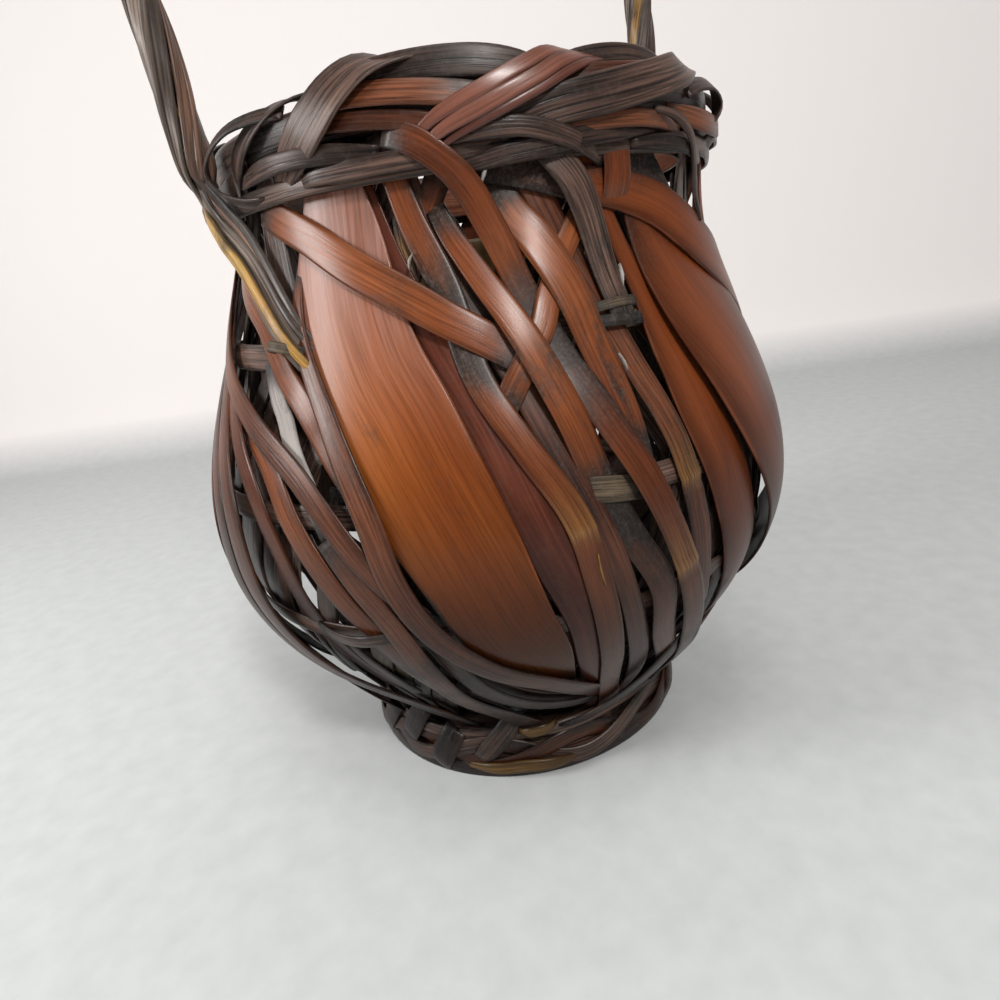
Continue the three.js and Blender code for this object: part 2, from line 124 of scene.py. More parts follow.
def section(width, thickness, crown, columns):
    """One turn round a strip's cut end, as across (-1 to 1) and height. Across is bunched at the edges
    by 1.5 s - 0.5 s cubed. Each face closes on the edge as across to a high power, and the skin side
    rises in the middle by the crown times one minus across squared. The back face rises by a share of
    that."""
    s = np.linspace(-1, 1, columns)
    across = 1.5 * s - 0.5 * s**3
    half = thickness / 2 * (1 - np.abs(across) ** (EDGE_SHARPNESS * width / thickness))
    rise = crown * (1 - across**2)
    height = np.r_[half + rise, (rise * BACK_FACE_RISE - half)[-2:0:-1]]
    return np.r_[across, across[-2:0:-1]], height


def spread(values, count):
    """A value for each row: the values given, spaced evenly along the strip and joined smoothly."""
    values = np.atleast_1d(np.asarray(values, float))
    if len(values) == 1:
        return np.full(count, values[0])
    dense = catmull(values[:, None])[:, 0]
    return np.interp(np.linspace(0, 1, count), np.linspace(0, 1, len(dense)), dense)


def unit(vectors):
    """Each vector divided by its length."""
    return vectors / np.linalg.norm(vectors, axis=-1, keepdims=True)


def free_strip(line, facing, widths, thickness, crown=0.0, tone=0.5, closed=False):
    """A strip carried along a line in space. At each step its width lies along the run crossed with
    the facing, and its section's height along the part of the facing that is square to the run."""
    line, facing = np.asarray(line, float), np.asarray(facing, float)
    dense = catmull(np.c_[line, facing], closed)
    rows, along = even_steps(dense, dense[:, :3], closed)
    path, face = rows[:, :3], rows[:, 3:]
    if closed:
        run = unit(np.roll(path, -1, 0) - np.roll(path, 1, 0))
    else:
        run = unit(np.gradient(path, axis=0))
    face = unit(face - (face * run).sum(1, keepdims=True) * run)
    side = np.cross(run, face)
    width = spread(widths, len(path))
    across, height = section(width.max(), thickness, crown, NARROW_COLUMNS)
    offset = across * width[:, None] / 2
    points = path[:, None] + side[:, None] * offset[..., None] + face[:, None] * height[:, None]
    return {
        "points": points, "side": offset, "along": along, "across": across, "tone": tone,
        "closed": closed,
    }


def corners(grid, closed, period=0.0):
    """The four corner values of each quad of a grid whose columns close on themselves."""
    grid = np.vstack([grid, grid[:1]]) if closed else grid
    beside = np.roll(grid, -1, 1)
    beside[:, -1] = grid[:, 0] + period
    return np.stack([grid[:-1], grid[1:], beside[1:], beside[:-1]], -1).reshape(-1, 4)


SET_OFF = 0.0033
SET_OFF_FROM = 0.170
SET_OFF_OVER = 0.042


def set_off(points):
    """The basket was drawn in by eye: above the shoulder its axis stands a few millimetres to the
    right. The shift eases in with height as 3 t squared minus 2 t cubed."""
    t = np.clip((points[:, 2] - SET_OFF_FROM) / SET_OFF_OVER, 0, 1)
    turn = math.radians(FRONT_TURN)
    shift = [SET_OFF * math.cos(turn), SET_OFF * math.sin(turn), 0]
    return points + np.outer(t * t * (3 - 2 * t), shift)


# How far the grain is moved on, across and along, from strip to strip and with the tone.
GRAIN_BY_NUMBER = np.array([0.0713, 0.217])
GRAIN_BY_TONE = np.array([0.31, 0.77])


def add_piece(name, strips, finish, nodes=(), body="basket"):
    """Puts strips into one mesh: each is a grid of rows, every row one turn round its section, joined
    by quads and capped at open ends. A strip whose volume comes out negative is turned to face
    outwards. UV holds metres across and along, shifted for each strip, and point attributes hold
    across, tone, ring and tuck."""
    places, loops, starts, uvs = [], [], [], []
    marks = {"across": [], "tone": [], "ring": [], "tuck": []}
    first, loop_count = 0, 0
    for number, strip in enumerate(strips):
        grid = strip["points"]
        rows, columns = grid.shape[:2]
        closed = strip["closed"]
        index = first + np.arange(rows * columns).reshape(rows, columns)
        quads = corners(index, closed)
        side = np.broadcast_to(strip["side"], (rows, columns)).copy()
        side = corners(side, closed, strip.get("period", 0.0))
        along = strip["along"]
        run = np.broadcast_to(along[:, None], (len(along), columns))
        run = np.stack([run[:-1], run[1:], run[1:], run[:-1]], -1).reshape(-1, 4)
        shift = GRAIN_BY_NUMBER * number + GRAIN_BY_TONE * strip["tone"]
        flat = grid.reshape(-1, 3)
        local = flat - flat.mean(0)
        ends = [] if closed else [index[0], index[-1][::-1]]
        triangles = [quads[:, [0, 1, 2]], quads[:, [0, 2, 3]]]
        triangles += [np.stack([np.full(columns - 2, end[0]), end[1:-1], end[2:]], -1) for end in ends]
        a, b, c = (local[np.vstack(triangles)[:, k] - first] for k in range(3))
        if (a * np.cross(b, c)).sum() < 0:
            quads, side, run = quads[:, ::-1], side[:, ::-1], run[:, ::-1]
            ends = [end[::-1] for end in ends]
        places.append(set_off(flat) if body == "basket" else flat)
        loops.append(quads.ravel())
        starts.append(loop_count + 4 * np.arange(len(quads)))
        uvs.append(np.stack([side.ravel() + shift[0], run.ravel() + shift[1]], -1))
        loop_count += quads.size
        edge_uv = np.broadcast_to(strip["side"], (rows, columns)).ravel() + shift[0]
        for end, row in zip(ends, (0, -1)):
            loops.append(end)
            starts.append(np.array([loop_count]))
            uvs.append(np.stack([edge_uv[end - first], np.full(columns, along[row] + shift[1])], -1))
            loop_count += columns
        marks["across"].append(np.broadcast_to(strip["across"], (rows, columns)).ravel())
        marks["tone"].append(np.full(rows * columns, strip["tone"]))
        for mark in ("ring", "tuck"):
            marks[mark].append(np.broadcast_to(strip.get(mark, 0.0), (rows, columns)).ravel())
        first += rows * columns
    mesh = bpy.data.meshes.new(name)
    mesh.vertices.add(first)
    mesh.vertices.foreach_set("co", np.concatenate(places).astype(np.float32).ravel())
    mesh.loops.add(loop_count)
    mesh.loops.foreach_set("vertex_index", np.concatenate(loops).astype(np.int32))
    starts = np.concatenate(starts).astype(np.int32)
    mesh.polygons.add(len(starts))
    mesh.polygons.foreach_set("loop_start", starts)
    mesh.polygons.foreach_set("use_smooth", np.ones(len(starts), bool))
    uv = mesh.uv_layers.new(name="strip").uv
    uv.foreach_set("vector", np.concatenate(uvs).astype(np.float32).ravel())
    for mark, values in marks.items():
        attribute = mesh.attributes.new(mark, "FLOAT", "POINT")
        attribute.data.foreach_set("value", np.concatenate(values).astype(np.float32))
    mesh.update(calc_edges=True)
    mesh.validate()
    mesh.materials.append(finish)
    piece = bpy.data.objects.new(name, mesh)
    bpy.context.scene.collection.objects.link(piece)
    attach(piece, body)
    if nodes:
        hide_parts(*nodes)


class Finish:
    """A material being made. Each method adds nodes and gives the socket that carries their result."""

    def __init__(self, name):
        self.material = bpy.data.materials.new(name)
        self.material.use_nodes = True
        self.tree = self.material.node_tree
        self.tree.nodes.clear()

    def add(self, kind, inputs, **settings):
        made = self.tree.nodes.new(kind)
        for key, value in settings.items():
            setattr(made, key, value)
        for key, value in inputs.items():
            if isinstance(value, bpy.types.NodeSocket):
                self.tree.links.new(value, made.inputs[key])
            else:
                made.inputs[key].default_value = value
        return made

    def maths(self, operation, *values):
        return self.add("ShaderNodeMath", dict(enumerate(values)), operation=operation).outputs[0]

    def plus(self, a, b):
        return self.maths("ADD", a, b)

    def times(self, a, b):
        return self.maths("MULTIPLY", a, b)

    def swing(self, value, gain):
        """The value's distance from one half, times the gain."""
        return self.times(self.maths("SUBTRACT", value, 0.5), gain)

    def remap(self, value, low_end, high_end, to_low=0.0, to_high=1.0, kind="SMOOTHSTEP"):
        inputs = {"Value": value, "From Min": low_end, "From Max": high_end}
        inputs.update({"To Min": to_low, "To Max": to_high})
        return self.add("ShaderNodeMapRange", inputs, interpolation_type=kind).outputs[0]

    def mix(self, factor, a, b, blend="MIX"):
        inputs = {0: factor, 6: a, 7: b}
        return self.add("ShaderNodeMix", inputs, data_type="RGBA", blend_type=blend).outputs[2]

    def darken(self, colour, share):
        """The colour times a share, which is the same for red, green and blue."""
        grey = self.add("ShaderNodeCombineColor", {0: share, 1: share, 2: share}).outputs[0]
        return self.mix(1.0, colour, grey, "MULTIPLY")

    def noise(self, vector, scale, detail=3.0, roughness=0.5):
        inputs = {"Vector": vector, "Scale": scale, "Detail": detail, "Roughness": roughness}
        return self.add("ShaderNodeTexNoise", inputs).outputs[0]

    def ramp(self, value, stops):
        made = self.add("ShaderNodeValToRGB", {0: value})
        elements = made.color_ramp.elements
        while len(elements) < len(stops):
            elements.new(1.0)
        for element, (place, colour) in zip(elements, stops):
            element.position = place
            element.color = (*colour, 1.0)
        return made.outputs[0]

    def mark(self, attribute):
        return self.add("ShaderNodeAttribute", {}, attribute_name=attribute).outputs[2]

    def close(self, inputs):
        shader = self.add("ShaderNodeBsdfPrincipled", inputs)
        self.add("ShaderNodeOutputMaterial", {"Surface": shader.outputs[0]})
        return self.material


FIBRE_STRETCH = (1.0, 0.024, 1.0)
PATCH_STRETCH = (1.0, 0.33, 1.0)
# Painted sheen: a pale pinkish tint that stands in for the lamp's reflection on the upper broad slats.
PAINTED_SHEEN_TINT = (0.42, 0.29, 0.27, 1.0)
# Greys of soot, also used for the painted shade where strips dip under others.
SOOT_AND_SHADE = [(0.36, (0.008, 0.0072, 0.0066)), (0.50, (0.018, 0.0162, 0.0150)), (0.68, (0.060, 0.055, 0.051))]
DUST = (0.17, 0.145, 0.125, 1.0)
BARE_JOINT = (0.23, 0.115, 0.032, 1.0)
COAT_ROUGHNESS = 0.24
BUMP_DISTANCE = 0.0004


def bamboo(
    name, deep, skin, pale, soot=0.0, dust=0.1, worn=0.2, gloss=(0.3, 0.4), coat=0.2, lines=0.3, low=0.7,
    burst=0.35, sheen_share=0.0, shine=0.26,
):
    """Stained split bamboo. Broad streaks and fine fibres are noise stretched along the strip's UV,
    between a deep, a skin and a pale colour. The edges are darker by the burst. Above the shoulder a
    pale pinkish tint is mixed in streaks by the sheen share: a painted sheen, standing in for the
    reflection of the lamp on the left. Speckled grey soot lies in soft patches, more of them towards the
    foot, the rim and the edges, and over tucked ends and smudges; the same grey mixed in where a strip
    dips under others, and along one slat's edge, is painted shade. Over it lie the fibres' dark lines,
    and grooves between them on rough strips. All darkens downwards by the low share. Then come specks of
    dust, edges that are worn pale, and bare skin at the culm's joints. Gloss is the least and most
    roughness, and shine the specular level."""
    new = Finish(name)
    plus, times, swing, remap, noise = new.plus, new.times, new.swing, new.remap, new.noise
    grain = new.add("ShaderNodeUVMap", {}, uv_map="strip").outputs[0]
    fibres = new.add("ShaderNodeMapping", {"Vector": grain, "Scale": FIBRE_STRETCH}).outputs[0]
    patches = new.add("ShaderNodeMapping", {"Vector": grain, "Scale": PATCH_STRETCH}).outputs[0]
    place = new.add("ShaderNodeTexCoord", {}).outputs["Object"]
    height = new.add("ShaderNodeSeparateXYZ", {0: place}).outputs[2]
    streak = noise(fibres, 600.0)
    fibre = noise(fibres, 1450.0, 4.0, 0.62)
    groove = remap(noise(fibres, 1200.0, 1.0, 0.4), 0.38, 0.47)
    grooved = max(0.0, 1.5 * lines - 0.45)
    patch = noise(patches, 105.0, 6.0, 0.64)
    cloud = noise(place, 24.0)
    ragged = noise(place, 420.0, 4.0, 0.7)
    speck = noise(place, 950.0, 3.0, 0.7)
    edge = new.maths("ABSOLUTE", new.mark("across"))
    drift = plus(times(streak, 0.32), times(noise(patches, 40.0), 0.9))
    toned = plus(new.maths("SUBTRACT", drift, 0.11), swing(new.mark("tone"), 0.30))
    colour = new.ramp(toned, [(0.34, deep), (0.50, skin), (0.68, pale)])
    colour = new.darken(colour, remap(edge, 0.35, 1.0, 1.0, 1.0 - burst))
    # Painted sheen above the shoulder, in streaks, standing in for the reflection of the lamp on the
    # left.
    painted_sheen = times(remap(height, 0.130, 0.195, 0.0, sheen_share), remap(streak, 0.30, 0.66, 0.55, 1.35))
    colour = new.mix(painted_sheen, colour, PAINTED_SHEEN_TINT)
    gathered = plus(remap(height, 0.10, 0.03, 0.0, 0.08), remap(height, 0.18, 0.215, 0.0, 0.03))
    gathered = plus(gathered, remap(edge, 0.74, 1.0, 0.0, 0.06))
    smoke = plus(patch, plus(gathered, swing(cloud, 0.5)))
    smoke = plus(smoke, swing(ragged, 0.16))
    # The tuck mark brings soot at strip ends and smudges, and painted shade where a strip dips under
    # others and along a shadowed edge.
    settled_soot_and_shade = plus(new.mark("tuck"), swing(patch, 1.2))
    drifted_soot = remap(smoke, 0.54 - soot, 0.76 - soot, 0.0, 0.8)
    soot_and_shade_mask = new.maths("MAXIMUM", drifted_soot, remap(settled_soot_and_shade, 0.2, 0.9, 0.0, 0.92))
    colour = new.mix(soot_and_shade_mask, colour, new.ramp(speck, SOOT_AND_SHADE))
    colour = new.darken(colour, remap(fibre, 0.38, 0.60, 1.0 - lines, 1.0 + 0.3 * lines))
    colour = new.darken(colour, remap(groove, 0.0, 1.0, 1.0 - grooved, 1.0))
    colour = new.darken(colour, remap(height, 0.07, 0.155, 1.0 - low, 1.0))
    dust_mask = remap(plus(ragged, times(cloud, 0.35)), 0.62, 0.92, 0.0, dust)
    colour = new.mix(dust_mask, colour, DUST)
    worn_patch = remap(noise(patches, 60.0, 3.0, 0.6), 0.54, 0.66, 0.0, worn)
    worn_colour = (*(min(1.0, 1.6 * c + 0.03) for c in pale), 1.0)
    colour = new.mix(times(remap(edge, 0.93, 0.99), worn_patch), colour, worn_colour)
    bare = times(new.mark("ring"), remap(fibre, 0.36, 0.62, 0.15, 0.95))
    colour = new.mix(bare, colour, BARE_JOINT)
    rough = plus(remap(fibre, 0.3, 0.7, *gloss), times(dust_mask, 0.5))
    rough = plus(rough, times(soot_and_shade_mask, 0.16))
    relief = plus(times(groove, 0.6 * grooved), times(fibre, 0.55))
    bump = {"Height": relief, "Strength": 0.10 + 0.6 * lines, "Distance": BUMP_DISTANCE}
    return new.close({
        "Base Color": colour, "Roughness": rough, "Normal": new.add("ShaderNodeBump", bump).outputs[0],
        "Specular IOR Level": shine, "Coat Weight": coat, "Coat Roughness": COAT_ROUGHNESS,
    })


dusty = bamboo(
    "dusty_bamboo", deep=(0.020, 0.014, 0.010), skin=(0.055, 0.038, 0.026), pale=(0.15, 0.105, 0.062),
    soot=0.0, dust=0.30, gloss=(0.45, 0.62), coat=0.0, lines=0.55, low=0.4,
)
for number in range(1, 5):
    node = f"base_slat_{number}"
    low, high = (np.array(corner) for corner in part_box(node))
    lengthwise = int(np.argmax(high[:2] - low[:2]))
    ends = np.tile((low + high) / 2, (4, 1))
    ends[:, lengthwise] = np.linspace(low[lengthwise], high[lengthwise], 4)
    slat_width = (high - low)[1 - lengthwise]
    upwards = np.tile([0, 0, 1.0], (4, 1))
    slat = free_strip(ends, upwards, slat_width, high[2] - low[2], tone=0.2 * number)
    add_piece(node, [slat], dusty, [node])

# Foot: a thick ring of bent bamboo that the wall's ends stand on, wound with two bands that cross
# over and under each other, with plain strips along the floor and the throat, and with short strips
# that bind them. Bare bamboo shows where the stain wore off.
smoked = bamboo(
    "smoked_bamboo",
    deep=(0.022, 0.0125, 0.0095), skin=(0.070, 0.038, 0.0290), pale=(0.170, 0.098, 0.072),
    soot=-0.02, dust=0.12, worn=0.3, gloss=(0.30, 0.46), coat=0.08, lines=0.62, low=0.45,
)
stained = bamboo(
    "stained_bamboo",
    deep=(0.038, 0.0115, 0.0055), skin=(0.092, 0.0260, 0.0108), pale=(0.180, 0.058, 0.0255),
    soot=0.02, dust=0.08, worn=0.2, gloss=(0.28, 0.40), coat=0.08, lines=0.45, low=0.6,
)
red_brown = bamboo(
    "red_brown_bamboo",
    deep=(0.082, 0.0185, 0.0058), skin=(0.160, 0.0385, 0.0102), pale=(0.25, 0.070, 0.0200),
    dust=0.05, worn=0.18, gloss=(0.25, 0.36), coat=0.12, low=0.75,
)
golden = bamboo(
    "golden_bamboo",
    deep=(0.17, 0.080, 0.020), skin=(0.40, 0.210, 0.050), pale=(0.62, 0.380, 0.115),
    dust=0.05, worn=0.0, gloss=(0.3, 0.45), coat=0.05, lines=0.5,
)
FINISHES = {
    "dusty": dusty, "smoked": smoked, "stained": stained, "red_brown": red_brown, "golden": golden,
}
THROAT_RADIUS = 0.0615
FOOT_RADIUS = 0.0645
FOOT_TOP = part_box("foot_ring")[1].z
FOOT_INSIDE = 0.0505
FOOT_EDGE = 0.0022
RING_TURNS = 160
CORNER_STEPS = 5
BAND_THICKNESS = 0.0013


def turned(profile):
    """A ring turned about the axis: each row is the closed profile of (radius, height) at one angle."""
    profile = np.asarray(profile, float)
    turn = np.linspace(0, 2 * np.pi, RING_TURNS + 1)
    radius, height = profile[:, 0], profile[:, 1]
    here = turn[:-1, None]
    height = np.tile(height, (RING_TURNS, 1))
    points = np.stack([radius * np.sin(here), -radius * np.cos(here), height], -1)
    edges = np.linalg.norm(np.roll(profile, -1, 0) - profile, axis=1)
    side = np.r_[0, np.cumsum(edges)[:-1]]
    along = turn * radius.mean()
    return {
        "points": points, "side": side, "along": along, "across": np.zeros(len(profile)),
        "tone": 0.5, "closed": True, "period": edges.sum(),
    }


def rounded(corner_points, radius):
    """A closed profile with each corner replaced by an arc from one side's tangent point to the
    other's, drawn as the quadratic curve that the corner itself pulls."""
    corner_points = np.asarray(corner_points, float)
    back = unit(np.roll(corner_points, 1, 0) - corner_points) * radius
    ahead = unit(np.roll(corner_points, -1, 0) - corner_points) * radius
    t = np.linspace(0, 1, CORNER_STEPS)[None, :, None]
    here = corner_points[:, None]
    enter, leave = here + back[:, None], here + ahead[:, None]
    curve = (1 - t) ** 2 * enter + 2 * t * (1 - t) * here + t**2 * leave
    return curve.reshape(-1, 2)


def round_line(degrees, radius, height):
    """Points at angles from the front, radii and heights, with the direction straight out of each."""
    turn = np.radians(np.asarray(degrees, float) + FRONT_TURN)
    out = np.stack([np.sin(turn), -np.cos(turn), np.zeros_like(turn)], -1)
    line = out * np.broadcast_to(radius, turn.shape)[:, None]
    line[:, 2] = height
    return line, out


def foot_face(height):
    """Radius of the foot ring's outer face, which leans in from the floor to the throat."""
    return FOOT_RADIUS + (THROAT_RADIUS - FOOT_RADIUS) * np.asarray(height) / FOOT_TOP


foot_corners = [(FOOT_INSIDE, 0), (FOOT_RADIUS, 0), (THROAT_RADIUS, FOOT_TOP), (FOOT_INSIDE, FOOT_TOP)]
add_piece("foot_ring", [turned(rounded(foot_corners, FOOT_EDGE))], smoked, ["foot_ring"])
around = np.arange(0, 360, 5.0)


def wave(swing, waves):
    """A sine wave that goes round the basket a whole number of times, at each angle of around."""
    return swing * np.sin(np.radians(around * waves))


BAND_HEIGHT = 0.0098
BAND_WIDTH = 0.0068
BAND_CROWN = 0.0003
BAND_OUT = 0.0019
BAND_SWING = 0.0042
BAND_SWAY = 0.0009
BAND_WAVES = 6
# Each band: node, which way it swings first, slot and tone.
FOOT_BANDS = [("foot_band_lower", 1, "stained", 0.45), ("foot_band_upper", -1, "smoked", 0.6)]
for node, sign, slot, tone in FOOT_BANDS:
    height = BAND_HEIGHT + wave(sign * BAND_SWING, BAND_WAVES)
    out = BAND_OUT + sign * BAND_SWAY * np.cos(np.radians(around * BAND_WAVES))
    line, facing = round_line(around, foot_face(height) + out, height)
    band = free_strip(line, facing, BAND_WIDTH, BAND_THICKNESS, BAND_CROWN, tone, closed=True)
    add_piece(node, [band], FINISHES[slot], [node])
FLOOR_STRIP_WIDTH = 0.0062
THROAT_STRIP_WIDTH = 0.0052
FLOOR_STRIP_HEIGHT = 0.0036
THROAT_STRIP_HEIGHT = 0.0185
floor_strip_radius = foot_face(0.0035) + 0.0011
throat_strip_radius = THROAT_RADIUS + 0.0024 + wave(0.0008, 7)
floor_line, floor_facing = round_line(around, floor_strip_radius, FLOOR_STRIP_HEIGHT + wave(0.0006, 3))
throat_line, throat_facing = round_line(
    around, throat_strip_radius, THROAT_STRIP_HEIGHT + wave(0.0012, 4),
)
foot_strips = [
    free_strip(floor_line, floor_facing, FLOOR_STRIP_WIDTH, BAND_THICKNESS, 0.0003, 0.35, closed=True),
    free_strip(throat_line, throat_facing, THROAT_STRIP_WIDTH, BAND_THICKNESS, 0.0004, 0.7, closed=True),
]
add_piece("foot_floor_and_throat_strips", foot_strips, smoked)
# Each row: first and last angle, height at the start, middle and end, and width.
FOOT_PATCHES = [
    (-23, 15, 0.0050, 0.0066, 0.0052, 0.0052), (96, 126, 0.0060, 0.0074, 0.0064, 0.0046),
    (214, 240, 0.0054, 0.0048, 0.0060, 0.0050), (-4, 8, 0.0205, 0.0215, 0.0222, 0.0044),
]
PATCH_OUT = np.array([0.0012, 0.0040, 0.0043, 0.0040, 0.0012])
patches = []
for start, stop, *heights, width in FOOT_PATCHES:
    spots = np.linspace(start, stop, len(PATCH_OUT))
    height = spread(heights, len(PATCH_OUT))
    base = np.where(height < FOOT_TOP, foot_face(height), THROAT_RADIUS + 0.002)
    line, facing = round_line(spots, base + PATCH_OUT, height)
    widths = [width * 0.5, width, width, width * 0.6]
    patches.append(free_strip(line, facing, widths, BAND_THICKNESS, BAND_CROWN, 0.4))
add_piece("foot_bare_strips", patches, golden)
# Short strips bind the foot's bands, slanted, and end under a band or at the floor.
# Each row: angle, slant, first and last height, and width.
FOOT_BINDINGS = [
    (-43, 5, 0.0270, 0.0085, 0.0090), (-30, 4, 0.0200, 0.0023, 0.0100),
    (-12, 7, 0.0262, 0.0072, 0.0085), (66, 6, 0.0255, 0.0023, 0.0088),
    (121, -5, 0.0255, 0.0060, 0.0080), (163, 5, 0.0255, 0.0023, 0.0098),
    (214, 6, 0.0240, 0.0070, 0.0085), (268, 4, 0.0255, 0.0023, 0.0092),
    (303, 6, 0.0245, 0.0060, 0.0080),
]
BINDING_OUT = np.array([0.0020, 0.0046, 0.0049, 0.0047, 0.0038, 0.0010])
BINDING_THICKNESS = 0.0010
bindings = []
for number, (angle, slant, first_height, last_height, width) in enumerate(FOOT_BINDINGS):
    height = np.linspace(first_height, last_height, len(BINDING_OUT))
    base = foot_face(np.minimum(height, FOOT_TOP)) + BINDING_OUT
    line, facing = round_line(angle + np.linspace(slant, -slant, len(base)), base, height)
    widths = [width * 0.9, width, width * 0.8]
    tone = (number * 0.29) % 1
    bindings.append(free_strip(line, facing, widths, BINDING_THICKNESS, 0.0004, tone))
add_piece("foot_bindings", bindings, smoked)

# Inner weave: bands of five strips that run up to the right on the inside of the wall and close the
# gaps between the outer ones, with single strips behind them that run the other way. They are smoked
# nearly black, and stand on the foot ring under the rim's core.
BELLY_RADIUS = 0.109
BELLY_HEIGHT = 0.1025
NECK_RADIUS = 0.083
NECK_HEIGHT = 0.209
RIM_RADIUS = 0.0835
RIM_HEIGHT = 0.227
STRIP_THICKNESS = 0.00095
LAYER_PITCH = 0.0017
STRIP_WIDTH = 0.009
SEAT_GAP = 0.00035
STRIP_FOOT = FOOT_TOP + SEAT_GAP
STRIP_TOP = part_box("rim_core")[0].z - SEAT_GAP
SLOPE_STEP = 0.0005


def body_radius(z):
    """Outline of the wall's main layer: a sine swell from the throat to the belly, half a cosine wave
    in to the neck, and a slight parabola out to the rim."""
    swell = (z - FOOT_TOP) / (BELLY_HEIGHT - FOOT_TOP)
    lower = THROAT_RADIUS + (BELLY_RADIUS - THROAT_RADIUS) * np.sin(swell * np.pi / 2)
    sweep = (z - BELLY_HEIGHT) / (NECK_HEIGHT - BELLY_HEIGHT)
    middle = NECK_RADIUS + (BELLY_RADIUS - NECK_RADIUS) * (1 + np.cos(sweep * np.pi)) / 2
    flare = (z - NECK_HEIGHT) / (RIM_HEIGHT - NECK_HEIGHT)
    upper = NECK_RADIUS + (RIM_RADIUS - NECK_RADIUS) * flare**2
    return np.where(z < BELLY_HEIGHT, lower, np.where(z < NECK_HEIGHT, middle, upper))


def body_slope(z):
    """The outline's change of radius with height, over one small step up and one down."""
    return (body_radius(z + SLOPE_STEP) - body_radius(z - SLOPE_STEP)) / (2 * SLOPE_STEP)


def on_body(angle, z, out):
    """The point at an angle from the front and a height on the outline, moved out square to it."""
    slope = body_slope(z)
    lean = np.hypot(1, slope)
    radius = body_radius(z) + out / lean
    turn = np.radians(angle + FRONT_TURN)
    return np.stack([radius * np.sin(turn), -radius * np.cos(turn), z - out * slope / lean], -1)


foot_lean = body_slope(STRIP_FOOT) / np.hypot(1, body_slope(STRIP_FOOT))


def level_height(level, lift):
    """Height of a level, 0 on the foot ring to 100 under the rim. Each layer meets the ring at 0."""
    height = STRIP_FOOT + (STRIP_TOP - STRIP_FOOT) * level / 100
    return np.where(level == 0, STRIP_FOOT + lift * LAYER_PITCH * foot_lean, height)


def bell(distance, width):
    """One where the distance is none, falling off as e to minus the square of distance over width."""
    return np.exp(-((distance / width) ** 2))


WIDTH_WAVE = 0.035
WIDTH_WAVE_LENGTH = 0.017
LIE_WAVE = 0.00016
LIE_WAVE_LENGTH = 0.011
BROAD_FROM = 0.012
LANE_FILL = 0.93
JOINT_SLANT = 0.0006
JOINT_RIDGE = 0.0006
JOINT_GROOVE = 0.0003
JOINT_GROOVE_OFF = 0.0021
JOINT_WIDTH = 0.0009
JOINT_BARE = 0.0010
BARE_ABOVE = 0.011
BARE_BELOW = 0.003
FULL_DIP = 1.4
TUCK_LENGTH = 0.011


def body_strip(
    points, shares, lift=0.0, tone=0.5, rings=(), crown=0.0002, lane=(0, 1), thickness=STRIP_THICKNESS,
    smudges=(0,),
):
    """A strip bent onto the wall through points of (angle, level) or (angle, level, lift). A lift of
    one is one layer out. Its width lies on the wall, square to the run, in common strip widths. A slow
    wave of a fraction of a millimetre keeps it from lying dead flat. Rings are the heights of the culm's
    joints: a narrow ridge with a groove beside it, and bare skin above. A lane (number, count) makes
    the strip one of several that share the width side by side. Tuck marks painted shade where the strip
    dips under others, and soot at its ends and at the smudges, which are given in even steps along it."""
    points = [tuple(point) if len(point) == 3 else (*point, lift) for point in points]
    angle, level, lifts = np.array(points, float).T
    dense = catmull(np.c_[angle, level_height(level, lifts), lifts])
    rows, along = even_steps(dense, on_body(dense[:, 0], dense[:, 1], dense[:, 2] * LAYER_PITCH))
    angle, z, lifts = (column[:, None] for column in rows.T)
    stretch = np.hypot(1, body_slope(z))
    radius = body_radius(z)
    turned_by = np.gradient(np.radians(rows[:, 0]))[:, None] * radius
    climbed = np.gradient(rows[:, 1])[:, None] * stretch
    length = np.hypot(turned_by, climbed)
    phase = 40.0 * tone + angle[0]
    width = spread(shares, len(rows)) * STRIP_WIDTH
    width = width * (1 + WIDTH_WAVE * np.sin(along / WIDTH_WAVE_LENGTH + phase[0]))
    columns = BROAD_COLUMNS if width.max() > BROAD_FROM else NARROW_COLUMNS
    across, height = section(width.max(), thickness, crown, columns)
    middle = (lane[0] + 0.5) / lane[1] - 0.5
    spacing = 1.0 if lane[1] == 1 else LANE_FILL / lane[1]
    side = (across * spacing / 2 + middle) * width[:, None]
    out = lifts * LAYER_PITCH - thickness / 2 + height
    out = out + LIE_WAVE * np.sin(along[:, None] / LIE_WAVE_LENGTH + phase)
    ring = np.zeros((len(rows), 1))
    for ring_height in rings:
        gap = along - along[np.argmin(np.abs(rows[:, 1] - ring_height))]
        gap = gap[:, None] + JOINT_SLANT * across
        out = out + JOINT_RIDGE * bell(gap, JOINT_WIDTH)
        out = out - JOINT_GROOVE * bell(gap - JOINT_GROOVE_OFF, JOINT_WIDTH)
        halo = np.where(gap < 0, bell(gap, BARE_ABOVE), bell(gap, BARE_BELOW))
        ring = np.maximum(ring, np.maximum(bell(gap, JOINT_BARE), 0.6 * halo))
    # Painted shade: the strip darkens where it dips below its usual layer, under the strips that cross
    # it.
    painted_dip_shade = np.clip((np.median(lifts) - lifts) / FULL_DIP, 0, 1)
    from_end = np.minimum(along, along[-1] - along)[:, None]
    tuck = np.maximum(painted_dip_shade, 0.85 * bell(from_end, TUCK_LENGTH))
    tuck = np.maximum(tuck, spread(smudges, len(rows))[:, None])
    aside = np.degrees(side * climbed / length / radius)
    places = on_body(angle + aside, z - side * turned_by / length / stretch, out)
    return {
        "points": places, "side": side, "along": along, "across": across, "tone": tone, "closed": False,
        "ring": ring, "tuck": tuck,
    }


def moved(run, turn):
    """The same run of points, turned round the basket."""
    return [(point[0] + turn, *point[1:]) for point in run]


